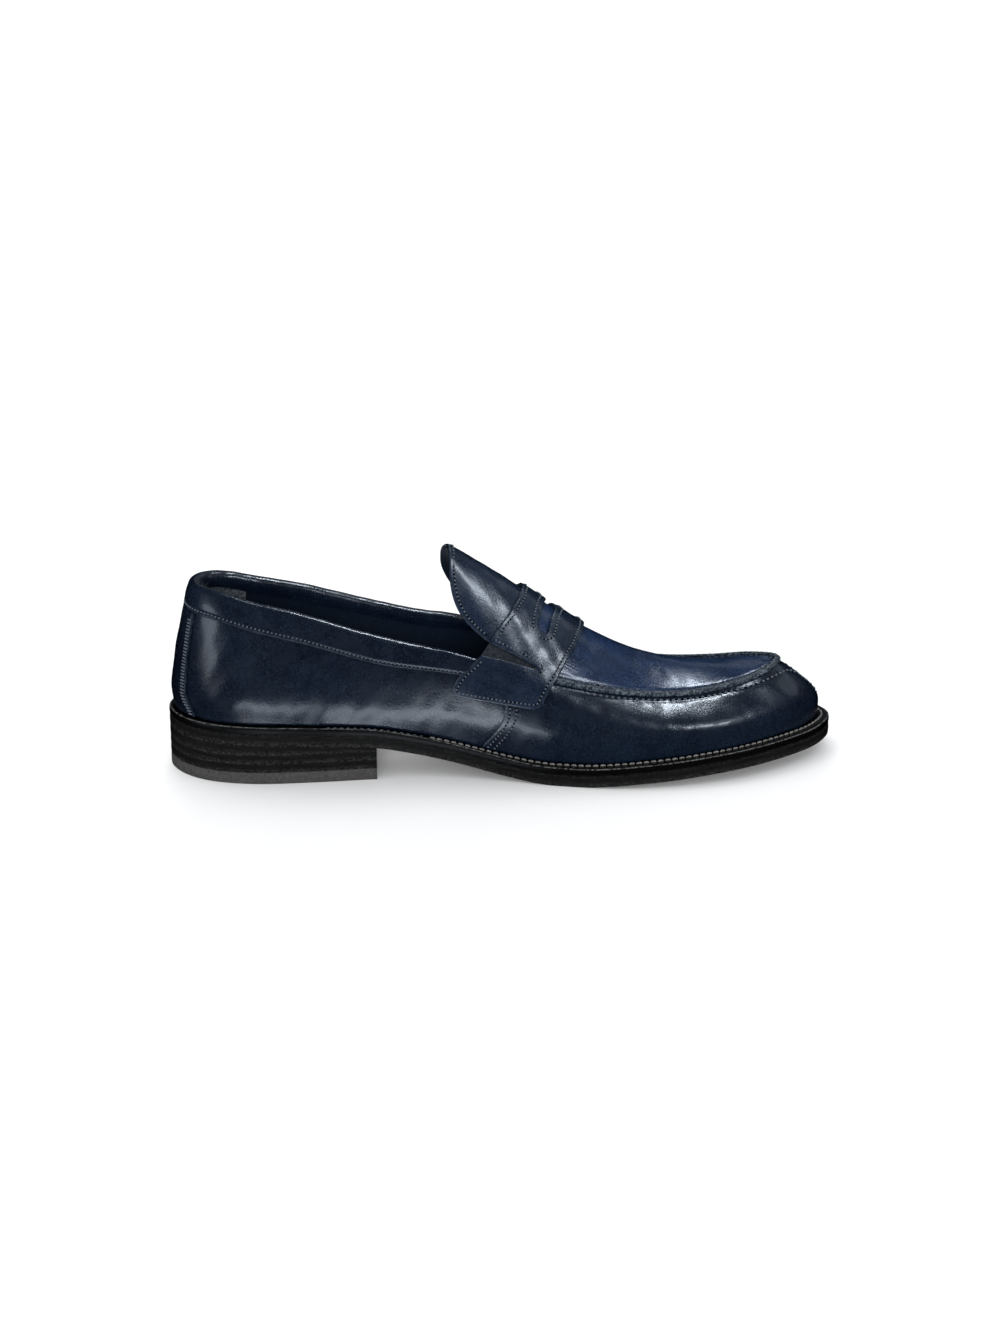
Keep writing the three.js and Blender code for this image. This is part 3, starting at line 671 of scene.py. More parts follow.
def waxed_edge(name, dark, light, worn_and_highlight, gloss=0.2):
    """Inked and waxed leather edges: fine level streaks from sanding, specks and a lighter corner, which is
    rubbed wear and, on the welt's top edge, a painted highlight.
    """
    s = Shader(name)
    plain_place = s.place
    level = s.add("ShaderNodeMapping", {"Vector": plain_place, "Scale": (0.03, 0.03, 1.0)})
    s.place = level.outputs["Vector"]
    streaks = s.noise(0.45, 4, 0.75)
    s.place = plain_place
    colour = s.mixed(s.ranged(streaks, 0.45, 0.75), dark, light)
    # The lighter corner: rubbed wear, and on the welt's top edge a painted highlight.
    rubbed_and_highlight = s.times(s.attribute("wear"), s.ranged(s.noise(1.2, 4, 0.75), 0.42, 0.66))
    colour = s.mixed(rubbed_and_highlight, colour, worn_and_highlight)
    rough = s.ranged(streaks, 0.3, 0.7, 0.3, 0.5)
    normal = s.bump(streaks, 0.015, s.bump(s.noise(0.7), 0.02))
    return s.done(Base_Color=colour, Roughness=rough, Normal=normal, Specular_IOR_Level=gloss)


# Each calf's last colour is its lighter rim colour: rubbed wear and a painted highlight.
BODY_CALF = calf("navy_calf", (0.0018, 0.004, 0.0105), (0.0048, 0.0098, 0.021), (0.02, 0.028, 0.04))
TOP_CALF = calf("navy_calf_lighter", (0.004, 0.012, 0.036), (0.0095, 0.026, 0.075), (0.03, 0.045, 0.07))
STRAP_CALF = calf("navy_calf_strap", (0.003, 0.0075, 0.018), (0.0078, 0.0165, 0.036), (0.03, 0.04, 0.055))
SEAM_CALF = plain_finish("seam_calf", (0.004, 0.008, 0.016), (0.13, 0.165, 0.2), 1.0, 0.5, 0.3, 0.4,
                         spread=(0.46, 0.72))
LINING_CALF = plain_finish("lining_calf", (0.004, 0.008, 0.018), (0.008, 0.014, 0.027), 1.5, 0.55, 0.04)
BACKING = plain_finish("backing", (0.004, 0.0055, 0.009), (0.026, 0.031, 0.038), 1.0, 0.85, 0.15, 0.2)
SUEDE = plain_finish("suede", (0.014, 0.02, 0.03), (0.16, 0.19, 0.22), 1.2, 0.92, 0.25, 0.15,
                     sheen=0.5, spread=(0.4, 0.7))
# The welt's pale corner colour is a painted highlight along its top edge as well as rubbed wear.
EDGE_LEATHER = waxed_edge("waxed_edge", (0.001, 0.001, 0.0012), (0.003, 0.003, 0.003), (0.2, 0.2, 0.2))
SOLE_LEATHER = waxed_edge("sole_edge", (0.0035, 0.0035, 0.0036), (0.011, 0.011, 0.011), (0.05, 0.05, 0.05),
                          gloss=0.03)
RUBBER = plain_finish("rubber", (0.03, 0.029, 0.029), (0.06, 0.058, 0.058), 1.2, 0.75, 0.05, 0.3)
THREAD = plain_finish("navy_thread", (0.02, 0.028, 0.04), (0.125, 0.15, 0.185), 0.3, 0.5, 0.05, 0.4)
WELT_THREAD = plain_finish("welt_thread", (0.03, 0.03, 0.03), (0.25, 0.245, 0.235), 0.6, 0.6, 0.06)
# Near-black: the painted shade inside needle holes.
HOLE_SHADE = plain_finish("needle_hole", (0.0004, 0.0005, 0.0008), (0.001, 0.0012, 0.0016), 0.3, 0.9, 0.01, 0.0)
PRESSED_BOARD = plain_finish("board", (0.16, 0.1, 0.05), (0.22, 0.15, 0.08), 0.6, 0.85)
CORK = plain_finish("cork", (0.12, 0.06, 0.025), (0.3, 0.18, 0.09), 1.2, 0.9, 0.2)
STIFF = plain_finish("stiffener", (0.3, 0.24, 0.16), (0.4, 0.33, 0.24), 0.5, 0.8)
FOAM = plain_finish("foam", (0.05, 0.05, 0.05), (0.09, 0.09, 0.09), 0.5, 0.9, 0.1)
STEEL = plain_finish("steel", (0.4, 0.4, 0.4), (0.55, 0.55, 0.55), 0.4, 0.35, 0.01, 0.5)

# ---- The upper ----


def keep(piece, slot, *nodes, bends=False):
    """Puts a piece on the body that it rides on and hides the CAD nodes it stands for; the slot argument is
    not used.

    A piece that bends keeps its place, baked into its mesh, and rides on no body.
    """
    if bends:
        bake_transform(piece)
    else:
        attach(piece, "shoe")
    if nodes:
        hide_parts(*nodes)


def sided(name, side):
    return f"{name}_{'lateral' if side > 0 else 'medial'}"


def between(rows, position):
    """Straight from one row of [position, value] to the next."""
    return np.interp(position, [row[0] for row in rows], [row[1] for row in rows])


def folded(up):
    """Up on the nearer side, as if both sides were the lateral one."""
    return np.minimum(up, 6 - up)


def strap_rear(up):
    return between(STRAP_REAR, folded(up))


def strap_front(up):
    return between(STRAP_FRONT, folded(up))


def vamp_seam(up):
    return 0.478 + 0.028 * np.minimum(up, 2)


def along(line_around, ups):
    return np.stack([line_around, ups], 1)


generator = np.random.default_rng(11)
WAVES = [(generator.normal(size=3) * 2 * math.pi / size, generator.uniform(0, 2 * math.pi))
         for size in (34, 34, 26, 26, 20, 20, 15, 15, 11, 11)]


def unevenness(points, height=0.1):
    """Slow rises and dips of the leather over the last, about `height` millimetres."""
    return height / 2 * sum(np.sin(points @ wave + phase) for wave, phase in WAVES) / len(WAVES) ** 0.5


APRON_END = 0.993
SEAM_EDGE = 0.012  # how far vamp and apron stop short of the seam line, as up
LAP_RISE, LAP_WIDTH = 0.75, 9  # the vamp's edge lies over the quarter's
QUARTER_TUCK, COLLAR_TUCK = 0.006, 0.004  # how far they run in under vamp and strap, as around
SEAM_START = 0.6  # where the apron seam comes out from under the strap
SEAM_PITCH = 2.9
seam_line = along(np.linspace(SEAM_START, 2 - SEAM_START, 240), np.full(240, 2.0))
seam_places = surface_point(*seam_line.T)
thread_below = beside(seam_line, -2.9)
thread_above = beside(seam_line, 2.6)
below_places = surface_point(*thread_below.T)
above_places = surface_point(*thread_above.T)


def groove(points, line, depth, width, pucker=0.0, pitch=SEAM_PITCH):
    """A groove that stitches pull into the leather, deeper at each stitch."""
    distance, length = nearest(points, line)
    wave = 1 + pucker * np.cos(2 * math.pi * length / pitch)
    return -depth * wave * np.exp(-(distance / width) ** 2)


def seam_relief(points, line):
    return (groove(points, line, 0.5, 0.9, 0.25) + groove(points, seam_places, -0.25, 2.2, 0.1)
            + unevenness(points, 0.12))


def lap(inward):
    """How far the vamp rises at a distance in from its edge."""
    return LAP_RISE * (1 - smoothstep(inward, 0, LAP_WIDTH))


def vamp():
    def place(u, v):
        up = (2 - SEAM_EDGE) * v
        start = vamp_seam(up) + 0.0005
        return start + (2 - 2 * start) * u, up

    def relief(around, up, base):
        inward = (from_heel(around) - vamp_seam(up)) * PER_AROUND
        return lap(inward) + seam_relief(base, below_places)
    return grid_patch("vamp_leather", place, 0, -LEATHER, BODY_CALF, rims="ab", relief=relief)


def quarter(side):
    def place(u, v):
        up = 2 * v
        return side * u * (vamp_seam(up) + QUARTER_TUCK), up

    def relief(around, up, base):
        tuck = -0.5 * smoothstep(from_heel(around) - vamp_seam(up), -0.004, 0.004)
        return tuck + unevenness(base, 0.2)
    return grid_patch(sided("quarter_leather", side), place, 0, -LEATHER, BODY_CALF, step=1.3,
                      relief=relief)


def apron_rear(up):
    """Where the apron's polished leather starts; beside the notches it starts further forward."""
    return strap_rear(up) + 0.006 + 0.08 * (1 - smoothstep(folded(up), 2.2, 2.35))


def apron():
    def place(u, v):
        up = 2 + SEAM_EDGE + (2 - 2 * SEAM_EDGE) * v
        rear = apron_rear(up)
        return rear + (APRON_END - rear) * u, up

    def relief(around, up, base):
        return seam_relief(base, above_places)
    return grid_patch("apron_leather", place, 0, -LEATHER, TOP_CALF, relief=relief)


def apron_backing(side):
    """The rough end of the apron that shows in the notch of the strap."""
    def place(u, v):
        up = 2 + SEAM_EDGE + 0.36 * v
        rear, front = strap_rear(up) + 0.002, apron_rear(up) + 0.004
        return rear + (front - rear) * u, up if side > 0 else 6 - up
    return grid_patch(sided("apron_backing", side), place, 0.05, -LEATHER, BACKING)


def seam_roll():
    """The raised seam round the apron: a fold of leather, drawn in a little at each stitch."""
    width, height, depth, sides = 3.3, 2.1, 0.95, 14
    path = upper_point(*seam_line.T, np.full(len(seam_line), depth))
    fine, steps = np.linspace(0, len(path) - 1, 1400), np.arange(len(path))
    centre = read_off(fine, steps, path)
    rise = unit(read_off(fine, steps, surface_normal(*seam_line.T)))
    sideways = np.cross(unit(np.gradient(centre, axis=0)), rise)
    drawn = 1 + 0.055 * np.cos(2 * math.pi * travelled(centre) / SEAM_PITCH)
    angles = full_turn(sides)[None, :, None]
    drawn = 0.5 * drawn[:, None, None]
    rings = centre[:, None] + drawn * (width * np.cos(angles) * sideways[:, None]
                                       + height * np.sin(angles) * rise[:, None])
    crown = 0.5 * np.clip(np.sin(full_turn(sides)), 0, 1) ** 6
    return ring_solid("apron_seam", rings, crown, SEAM_CALF)


NOTCH_LOWER = [[0.504, 2.075], [0.54, 2.085], [0.578, 2.075]]
NOTCH_UPPER = [[0.581, 2.1], [0.563, 2.145], [0.543, 2.175], [0.519, 2.205]]
SLOT_MIDDLE, SLOT_LEAN, SLOT_HALF, SLOT_REACH = 0.606, 0.027, 0.0066, 0.52
STRAP_TOP = 2.0  # the strap's depth outside the quarters
STRAP_MARGIN, SLOT_MARGIN = 2.1, 1.9  # from an edge to its row of stitches


def rounded(points, share=0.3):
    """An open line with its inner corners rounded off."""
    points = np.asarray(points, float)
    turn = np.linspace(0, 1, 6)[:, None]
    line = [points[:1]]
    for a, tip, b in zip(points, points[1:], points[2:]):
        start, end = tip + (a - tip) * share, tip + (b - tip) * share
        line.append(start * (1 - turn) ** 2 + 2 * tip * turn * (1 - turn) + end * turn ** 2)
    return np.concatenate([*line, points[-1:]])


def mirrored(line):
    """The same line on the other side of the crest, walked the other way."""
    line = np.asarray(line, float)[::-1]
    return np.stack([line[:, 0], 6 - line[:, 1]], 1)


def strap_lines():
    """The strap's front and rear edges on the lateral side, from the crest down to the tab's corner."""
    ups = np.linspace(3, 2.25, 18)
    front_ups = np.linspace(3, TAB_BOTTOM + 0.16, 40)
    lower = [[strap_rear(g), g] for g in (2.04, 1.95, 1.8, 1.68, TAB_BOTTOM + 0.16)]
    notch = rounded([*NOTCH_UPPER[::-1], *NOTCH_LOWER[::-1]], 0.35)
    rear = np.concatenate([along(strap_rear(ups), ups), notch, lower])
    corners = [[strap_rear(TAB_BOTTOM), TAB_BOTTOM], [strap_front(TAB_BOTTOM), TAB_BOTTOM]]
    return rear, corners, along(strap_front(front_ups), front_ups)


def strap_outline():
    """Counter-clockwise seen from outside: along the lateral tab forward, over the top and back."""
    rear, corners, front = strap_lines()
    tab = rounded([rear[-1], [corners[0][0] + 0.001, corners[0][1] + 0.03],
                   [corners[0][0] + 0.012, corners[0][1] - 0.005], corners[1] - np.array([0.012, 0]),
                   corners[1] + np.array([0.0, 0.02]), front[-1]], 0.4)
    lateral = np.concatenate([rear, tab[1:-1], front[::-1]])
    return np.concatenate([lateral, mirrored(lateral)[1:-1]])


def slot_outline(grown=0.0):
    """Clockwise seen from outside, as a hole is, with rounded ends; `grown` widens it, as around."""
    corners = surface_point(SLOT_MIDDLE + np.array([-0.01, 0.01, 0, 0]), np.array([2.5, 2.5, 2.3, 2.7]))
    wide = np.linalg.norm(corners[1] - corners[0]) / 0.02
    tall = np.linalg.norm(corners[3] - corners[2]) / 0.4
    half = SLOT_HALF + grown
    cap = half * wide / tall
    straight = SLOT_REACH + grown * wide / tall - cap
    turn = np.linspace(0, math.pi, 25)
    across = np.concatenate([[1], np.cos(turn), [-1], -np.cos(turn)])
    over = np.concatenate([[0], straight + cap * np.sin(turn), [0], -straight - cap * np.sin(turn)])
    return np.stack([SLOT_MIDDLE - SLOT_LEAN * np.abs(over) + half * across, 3 - over], 1)


def strap():
    return cut_patch("strap_leather", [strap_outline(), slot_outline()], STRAP_TOP, 0.1, STRAP_CALF,
                     relief=lambda around, up, base: unevenness(base, 0.25))


TONGUE_TIP, TONGUE_CORNER, TONGUE_REACH, TONGUE_SKEW = 0.467, 0.517, 0.78, 0.01


def tongue_edge(up):
    skew = TONGUE_SKEW * smoothstep(up, 3, 3.3) * (1 - smoothstep(up, 3.4, 3.75))
    return TONGUE_TIP - skew + (TONGUE_CORNER - TONGUE_TIP) * (np.abs(3 - up) / TONGUE_REACH) ** 6


def tongue_outline(margin):
    """Counter-clockwise: the curved free edge at the rear, and straight under the strap."""
    reach = TONGUE_REACH - margin * 0.8
    ups = np.linspace(3 - reach, 3 + reach, 90)
    free = along(tongue_edge(ups) + margin / 20, ups)
    hidden = along(strap_rear(ups) + 0.02, ups)
    return np.concatenate([free[::-1], hidden])


def tongue(name, top, bottom, margin, finish):
    return cut_patch(name, [tongue_outline(margin)], top, bottom, finish,
                     relief=lambda around, up, base: unevenness(base, 0.15))


COLLAR_BAND, COLLAR_WAIST, COLLAR_INNER = 9.6, 7.0, 3.6
WALL = LINING_DEPTH + LINING


def collar_band(around):
    return COLLAR_BAND + (COLLAR_WAIST - COLLAR_BAND) * smoothstep(from_heel(around), 0.36, 0.46)


def collar_taper(around):
    """The fold thins where it runs in under the strap, and is tight round the back of the heel."""
    place = np.abs(around)
    return 0.9 - 0.4 * smoothstep(place, 0.46, 0.505) - 0.15 * (1 - smoothstep(place, 0.06, 0.2))


def collar_section():
    """Rows of [part, share, depth] across the folded facing, from its outer edge over to its inner edge."""
    top = PLY_GAP + OVERLAY
    rim = [[0, s, top + rise] for s, rise in (
        (0, -1.6), (0.0, -0.7), (0.015, -0.2), (0.04, 0.08), (0.075, 0.15), (0.11, 0.0), (0.14, -0.22),
        (0.17, -0.3), (0.2, -0.2), (0.25, 0.0))]
    band = [[0, s, top] for s in (0.32, 0.42, 0.55, 0.7, 0.85)]
    fold = [[1, s, top] for s in np.linspace(0, 1, 17)]
    inner = [[2, s, top - 0.25 * s] for s in (0.12, 0.25, 0.4, 0.55, 0.7, 0.85, 0.94)]
    end = [[2, s, top - d] for s, d in ((0.98, 0.4), (1.0, 0.8), (1.0, 1.5))]
    outer = rim + band + fold + inner + end
    back = [[2, 0.9, 0.0], [2, 0.4, 0.0], *[[1, s, 0.0] for s in np.linspace(1, 0, 9)],
            [0, 0.6, 0.0], [0, 0.2, 0.0]]
    return outer + back


def collar():
    """The facing folded over the topline: outer band, roll and inner band, puffed a little."""
    section = collar_section()
    u = np.linspace(-1, 1, 330)
    middle = WALL / 2
    rings = []
    for part, share, depth in section:
        around = u * (strap_rear(2.0 - (0.25 * (1 - share) if part == 0 else 0)) + COLLAR_TUCK)
        flat = np.full_like(u, 2.0)
        wave = unevenness(surface_point(around, flat), 0.2)
        if part == 0:
            up = 2 - below_topline(around, collar_band(around) * (1 - share))
            puff = 0.3 * math.sin(math.pi * share) ** 2 if depth > 1 else 0
            rings.append(upper_point(around, up, depth + puff + wave))
        elif part == 1:
            out = surface_normal(around, flat)
            rise = unit(surface_point(around, flat) - surface_point(around, flat - 0.02))
            angle = math.pi * share
            reach = ((middle + depth) * collar_taper(around) + wave)[:, None]
            flatter = np.maximum(reach, middle + depth)
            rings.append(surface_point(around, flat) - out * middle
                         + out * math.cos(angle) * flatter + rise * math.sin(angle) * reach)
        else:
            up = 2 - below_topline(around, COLLAR_INNER * share)
            rings.append(upper_point(around, up, -WALL - depth))
    rings = np.stack(rings, 1)
    # The outer band's lower edge is painted lighter: rubbed wear and a painted highlight.
    worn_and_highlight = [0.9 if part == 0 and share < 0.12 else 0.0 for part, share, _ in section]
    return ring_solid("collar_facing", rings, worn_and_highlight, BODY_CALF)


BACKSTAY_FOOT = 0.04  # as up


def backstay_half(v):
    return 0.084 + 0.024 * (1 - smoothstep(v, 0, 0.5))


def backstay_up(around, v):
    """From the backstay's foot up to just under the collar's band."""
    high = 2 - below_topline(around, collar_band(0) + 0.2)
    return BACKSTAY_FOOT + (high - BACKSTAY_FOOT) * v


def backstay():
    def place(u, v):
        around = (2 * u - 1) * backstay_half(v)
        return around, backstay_up(around, v)
    return grid_patch("backstay_leather", place, PLY_GAP + OVERLAY, THINNEST, BODY_CALF, rims="ab",
                      relief=lambda around, up, base: unevenness(base, 0.25))


def vamp_lining():
    def place(u, v):
        up = 6 * v
        rear = np.maximum(vamp_seam(folded(up)), strap_rear(up) + 0.008)
        return rear + (1 - rear) * u, up
    return grid_patch("vamp_lining_skin", place, -LINING_DEPTH, -LINING_DEPTH - LINING, LINING_CALF, step=2.5)


GRIP_END, LINING_LAP = 0.2, 0.004  # as around


def heel_grip():
    def place(u, v):
        return GRIP_END * (2 * u - 1), 2 * v
    return grid_patch("heel_grip_suede", place, 0.25 - LINING_DEPTH, -LINING_DEPTH - LINING, SUEDE, step=2)


def quarter_lining(side):
    def place(u, v):
        up = 2 * v
        return side * (GRIP_END + (vamp_seam(up) + LINING_LAP - GRIP_END) * u), up
    return grid_patch(sided("quarter_lining_skin", side), place, -LINING_DEPTH, -LINING_DEPTH - LINING,
                      LINING_CALF, step=2)


# ---- The bottom ----

def edge_ring(around, section, bottom, top):
    """Points of a sole edge: rows of [inset, share of the height], 0 at the bottom and 1 at the top."""
    ring = []
    for inset, share in section:
        point = outline_point(around, inset(around) if callable(inset) else np.full_like(around, inset))
        low_z, high_z = bottom(point[:, 0]), top(point[:, 0])
        point[:, 2] = low_z + (high_z - low_z) * share
        ring.append(point)
    return np.stack(ring, 1)


def over(height):
    return lambda x: sole_bottom(x) + height


def level(height):
    return lambda x: np.full_like(x, height)


def edge_section(height, radius=0.08, bulge=0.06):
    """A sole edge that bulges a little between rounded corners, from the top down to the bottom."""
    soft = radius / height
    return [[radius, 1.0], [0.3 * radius, 1 - 0.3 * soft], [0.02, 1 - soft],
            [-bulge, 0.68], [-1.25 * bulge, 0.5], [-bulge, 0.32],
            [0.02, soft], [0.3 * radius, 0.3 * soft], [radius, 0.0]]


def sole_layer(name, bottom, top, finish, end=1.0, height=4.0):
    """A layer as wide as the sole, from the heel's back to `end`, with a closed edge all round."""
    around = np.linspace(0, end, max(8, round(150 * end)) + 1)
    section = edge_section(height)
    lateral, medial = (edge_ring(side * around, section, bottom, top) for side in (1, -1))
    spread = np.linspace(0, 1, 11)[1:-1, None]
    lower = lateral[:, -1:] + (medial[:, -1:] - lateral[:, -1:]) * spread
    upper = medial[:, :1] + (lateral[:, :1] - medial[:, :1]) * spread
    lower[..., 2] = bottom(lower[..., 0])
    upper[..., 2] = top(upper[..., 0])
    loop = np.concatenate([lateral, lower, medial[:, ::-1], upper], 1)
    rubbed_and_highlight = [1, 0.6, 0.1, 0, 0.1, 0.3, 0.6, 1, 1]
    flat_face = [0] * len(spread)
    wear = [*rubbed_and_highlight, *flat_face, *rubbed_and_highlight, *flat_face]
    return ring_solid(name, loop, wear, finish, caps=(False, end < 1))


def welt():
    def hidden(around):
        return ledge(around) + 4.5
    around = np.linspace(0, 2, 361)[:-1]
    section = [[hidden, 1.0], [0.9, 1.0], *edge_section(WELT, 0.35, 0.1), [hidden, 0.0]]
    rings = edge_ring(around, section, over(WELT_BOTTOM - 0.35), over(WELT_TOP))
    # The top outer corner is painted pale: a painted highlight along the welt's top edge, with rubbed wear;
    # the bottom corner gets a little wear.
    wear = [0, 0, 1, 0.8, 0, 0, 0, 0, 0.05, 0.1, 0.1, 0]
    return ring_solid("welt_strip", rings, wear, EDGE_LEATHER, caps=(False, False), closed=True)


BREAST = 5 / 14  # where the heel ends, as around
TOP_PIECE, LIFT = 5.2, 3.9
SHADOW = 0.1  # the thin line between one layer of the heel and the next
LIFT_BOTTOMS = [TOP_PIECE + GAP, TOP_PIECE + LIFT + 2 * GAP, TOP_PIECE + 2 * LIFT + 3 * GAP]
BOARD, SOCK, HEEL_PAD = 2, 1, 2.4
SOCK_BOTTOM = WELT_TOP + PLY_GAP + BOARD + GAP


def pad_height(x):
    return HEEL_PAD * (1 - smoothstep(x, 62, 96))


def sock():
    """The sock liner on the insole, lying over the heel pad."""
    around = np.linspace(0, 1, 150)
    spread = np.linspace(0, 1, 25)
    inset = ledge(around) + 4.4
    lateral, medial = outline_point(around, inset), outline_point(-around, inset)
    points = lateral[:, None] + (medial - lateral)[:, None] * spread[None, :, None]
    flat = points.reshape(-1, 3)
    base = sole_bottom(flat[:, 0]) + SOCK_BOTTOM + GAP + pad_height(flat[:, 0])
    outer, inner = flat.copy(), flat.copy()
    outer[:, 2] = base + SOCK + unevenness(flat, 0.3)
    inner[:, 2] = base
    return closed_sheet("sock_liner", outer, inner, grid_faces(len(around), len(spread)), LINING_CALF,
                        np.zeros(len(flat)))


# ---- Sewing ----

ROW_BREAK, SHORTEST_ROW = 4, 6  # the gap in mm that ends a row, and the points it needs

def sew(name, line, depth, **sizes):
    """A row of navy stitches along a line of [around, up], on leather whose outside is `depth` out."""
    keep(stitches_on(name, line, depth, THREAD, **sizes), "thread")


def sew_strap():
    """A row along the strap's edge, but not where the notch is too narrow, and one round the slot."""
    outline = evenly(strap_outline(), 0.5)
    row = beside(outline, STRAP_MARGIN, closed=True)
    gap, _ = nearest(surface_point(*row.T), surface_point(*outline.T))
    row = row[gap > STRAP_MARGIN - 0.08]
    path = upper_point(*row.T, np.full(len(row), STRAP_TOP))
    jumps = np.linalg.norm(np.diff(path, axis=0), axis=1) > ROW_BREAK
    for k, part in enumerate(np.split(row, np.flatnonzero(jumps) + 1)):
        if len(part) > SHORTEST_ROW:
            sew(f"strap_stitches_{k}", part, STRAP_TOP)
    slot_row = slot_outline(SLOT_MARGIN / PER_AROUND_AT_STRAP)
    sew("slot_stitches", np.concatenate([slot_row, slot_row[:1]]), STRAP_TOP)


def sew_collar():
    around = np.linspace(-1, 1, 400) * (strap_rear(1.8) - 0.004)
    line = along(around, 2 - below_topline(around, 0.83 * collar_band(around)))
    sew("collar_stitches", line, PLY_GAP + OVERLAY - 0.25)


def sew_backstay():
    v = np.linspace(0.03, 0.97, 80)
    up = backstay_up(backstay_half(v), v)
    for side in (1, -1):
        for row, inward in enumerate((1.0, 2.1, 3.2)):
            line = along(side * (backstay_half(v) - inward / PER_AROUND), up)
            sew(f"{sided('backstay_stitches', side)}_{row}", line, PLY_GAP + OVERLAY, pitch=1.5,
                thickness=0.95)


def sew_vamp_seam():
    ups = np.linspace(0.04, 1.55, 60)
    for side in (1, -1):
        for row, inward in enumerate((1.9, 4.1)):
            line = along(side * (vamp_seam(ups) + inward / PER_AROUND), ups)
            sew(f"{sided('vamp_stitches', side)}_{row}", line, lap(inward))


def sew_apron():
    below = stitches_on("apron_stitches_below", thread_below, -0.32, THREAD, pitch=SEAM_PITCH,
                        thickness=0.9, share=0.6, hole=0.65)
    keep(below, "thread", "apron_thread")
    sew("apron_stitches_above", thread_above, -0.4, pitch=SEAM_PITCH, share=0.62)


def sew_welt():
    """Thick stitches round the forepart, and short ones along the waist."""
    waist = (3.0, 0.5, 0.55, THREAD)
    for name, start, end, pitch, thickness, share, finish, *nodes in (
            ("welt_stitches", 0.42, 1.58, 3.3, 1.0, 0.85, WELT_THREAD, "welt_thread"),
            ("waist_stitches_lateral", 0.3, 0.415, *waist),
            ("waist_stitches_medial", -0.415, -0.3, *waist)):
        around = np.linspace(start, end, 500)
        path = over_sole(outline_point(around, ledge(around) - 2.0), WELT_TOP)
        upright = np.tile([0.0, 0, 1], (len(path), 1))
        row = stitch_row(name, path, upright, finish, pitch, thickness, share, hole=0.3)
        keep(row, "thread", *nodes)


def sew_tongue():
    ups = np.linspace(3 - TONGUE_REACH + 0.02, 3 + TONGUE_REACH - 0.02, 120)
    line = beside(evenly(along(tongue_edge(ups), ups), 0.5), -2.0)
    keep(stitches_on("tongue_stitches", line, 0.0, THREAD), "thread", bends=True)


def carried_over():
    """The inner pieces that the CAD already shapes well get a finish of their own."""
    finishes = {
        "insole_board": PRESSED_BOARD, "cork_filler": CORK, "shank": STEEL, "toe_puff": STIFF,
        "heel_counter": STIFF, "heel_pad": FOAM,
        **{f"heel_nail_{k}": STEEL for k in range(1, 6)},
    }
    for node, finish in finishes.items():
        for material_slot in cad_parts[node].material_slots:
            material_slot.link = "OBJECT"
            material_slot.material = finish


def build_leather():
    for piece, *nodes in (
            (vamp(), "vamp"), (apron(), "apron"), (apron_backing(1),), (apron_backing(-1),),
            (seam_roll(), "apron_seam_roll"), (strap(), "strap"), (quarter(1), "quarter_lateral"),
            (quarter(-1), "quarter_medial"), (backstay(), "backstay"), (collar(), "collar")):
        keep(piece, "upper_leather", *nodes)
    leather = tongue("tongue_leather", 0, -1.2, 0, STRAP_CALF)
    lining = tongue("tongue_lining_skin", -1.5, -2.3, 0.04, LINING_CALF)
    keep(leather, "upper_leather", "tongue", bends=True)
    keep(lining, "lining_leather", "tongue_lining", bends=True)
    for piece, slot, node in (
            (vamp_lining(), "lining_leather", "vamp_lining"),
            (quarter_lining(1), "lining_leather", "quarter_lining_lateral"),
            (quarter_lining(-1), "lining_leather", "quarter_lining_medial"),
            (heel_grip(), "suede", "heel_grip"), (sock(), "lining_leather", "sock")):
        keep(piece, slot, node)


def build_bottom():
    keep(welt(), "sole_leather", "welt")
    outsole = sole_layer("outsole_leather", over(0), over(OUTSOLE), SOLE_LEATHER, height=OUTSOLE)
    keep(outsole, "sole_leather", "outsole")
    low, middle, high = LIFT_BOTTOMS
    for name, bottom, top, node in (
            ("heel_wedge_leather", level(high), over(-SHADOW), "heel_wedge"),
            ("heel_lift_leather_upper", level(middle), level(high - SHADOW), "heel_lift_upper"),
            ("heel_lift_leather_lower", level(low), level(middle - SHADOW), "heel_lift_lower")):
        keep(sole_layer(name, bottom, top, SOLE_LEATHER, BREAST), "sole_leather", node)
    top_piece = sole_layer("heel_top_piece", level(0), level(low - SHADOW), RUBBER, BREAST, TOP_PIECE)
    keep(top_piece, "rubber", "top_piece")


# ---- Stage ----

FLOOR_REACH = 14.0


def floor():
    """A wide pale floor that stays out of the leather's reflections, as dark screens would keep it."""
    s = Shader("pale_floor")
    shade = s.ranged(s.noise(60, 2), 0.3, 0.7, 0.84, 0.86)
    finish = s.done(Base_Color=shade, Roughness=0.9, Specular_IOR_Level=0.1)
    sides = 64
    turns = [2 * math.pi * k / sides for k in range(sides)]
    rim = [(FLOOR_REACH * math.cos(turn), FLOOR_REACH * math.sin(turn), 0) for turn in turns]
    mesh = bpy.data.meshes.new("floor")
    mesh.from_pydata(rim, [], [tuple(range(sides))])
    mesh.materials.append(finish)
    ground = placed("floor", mesh)
    ground.visible_glossy = False


SILVER_BLUE = (0.8, 0.89, 1.0)


def area_light(name, place, aim, size, power, glossy=True, diffuse=True):
    light = bpy.data.lights.new(name, "AREA")
    light.shape = "ELLIPSE"
    light.size, light.size_y = size
    light.energy = power
    light.color = (1, 1, 1) if diffuse else SILVER_BLUE
    lamp = placed(name, light)
    lamp.location = place
    lamp.rotation_euler = (Vector(place) - Vector(aim)).to_track_quat("Z", "Y").to_euler()
    lamp.visible_camera = False
    lamp.visible_glossy = glossy
    lamp.visible_diffuse = diffuse


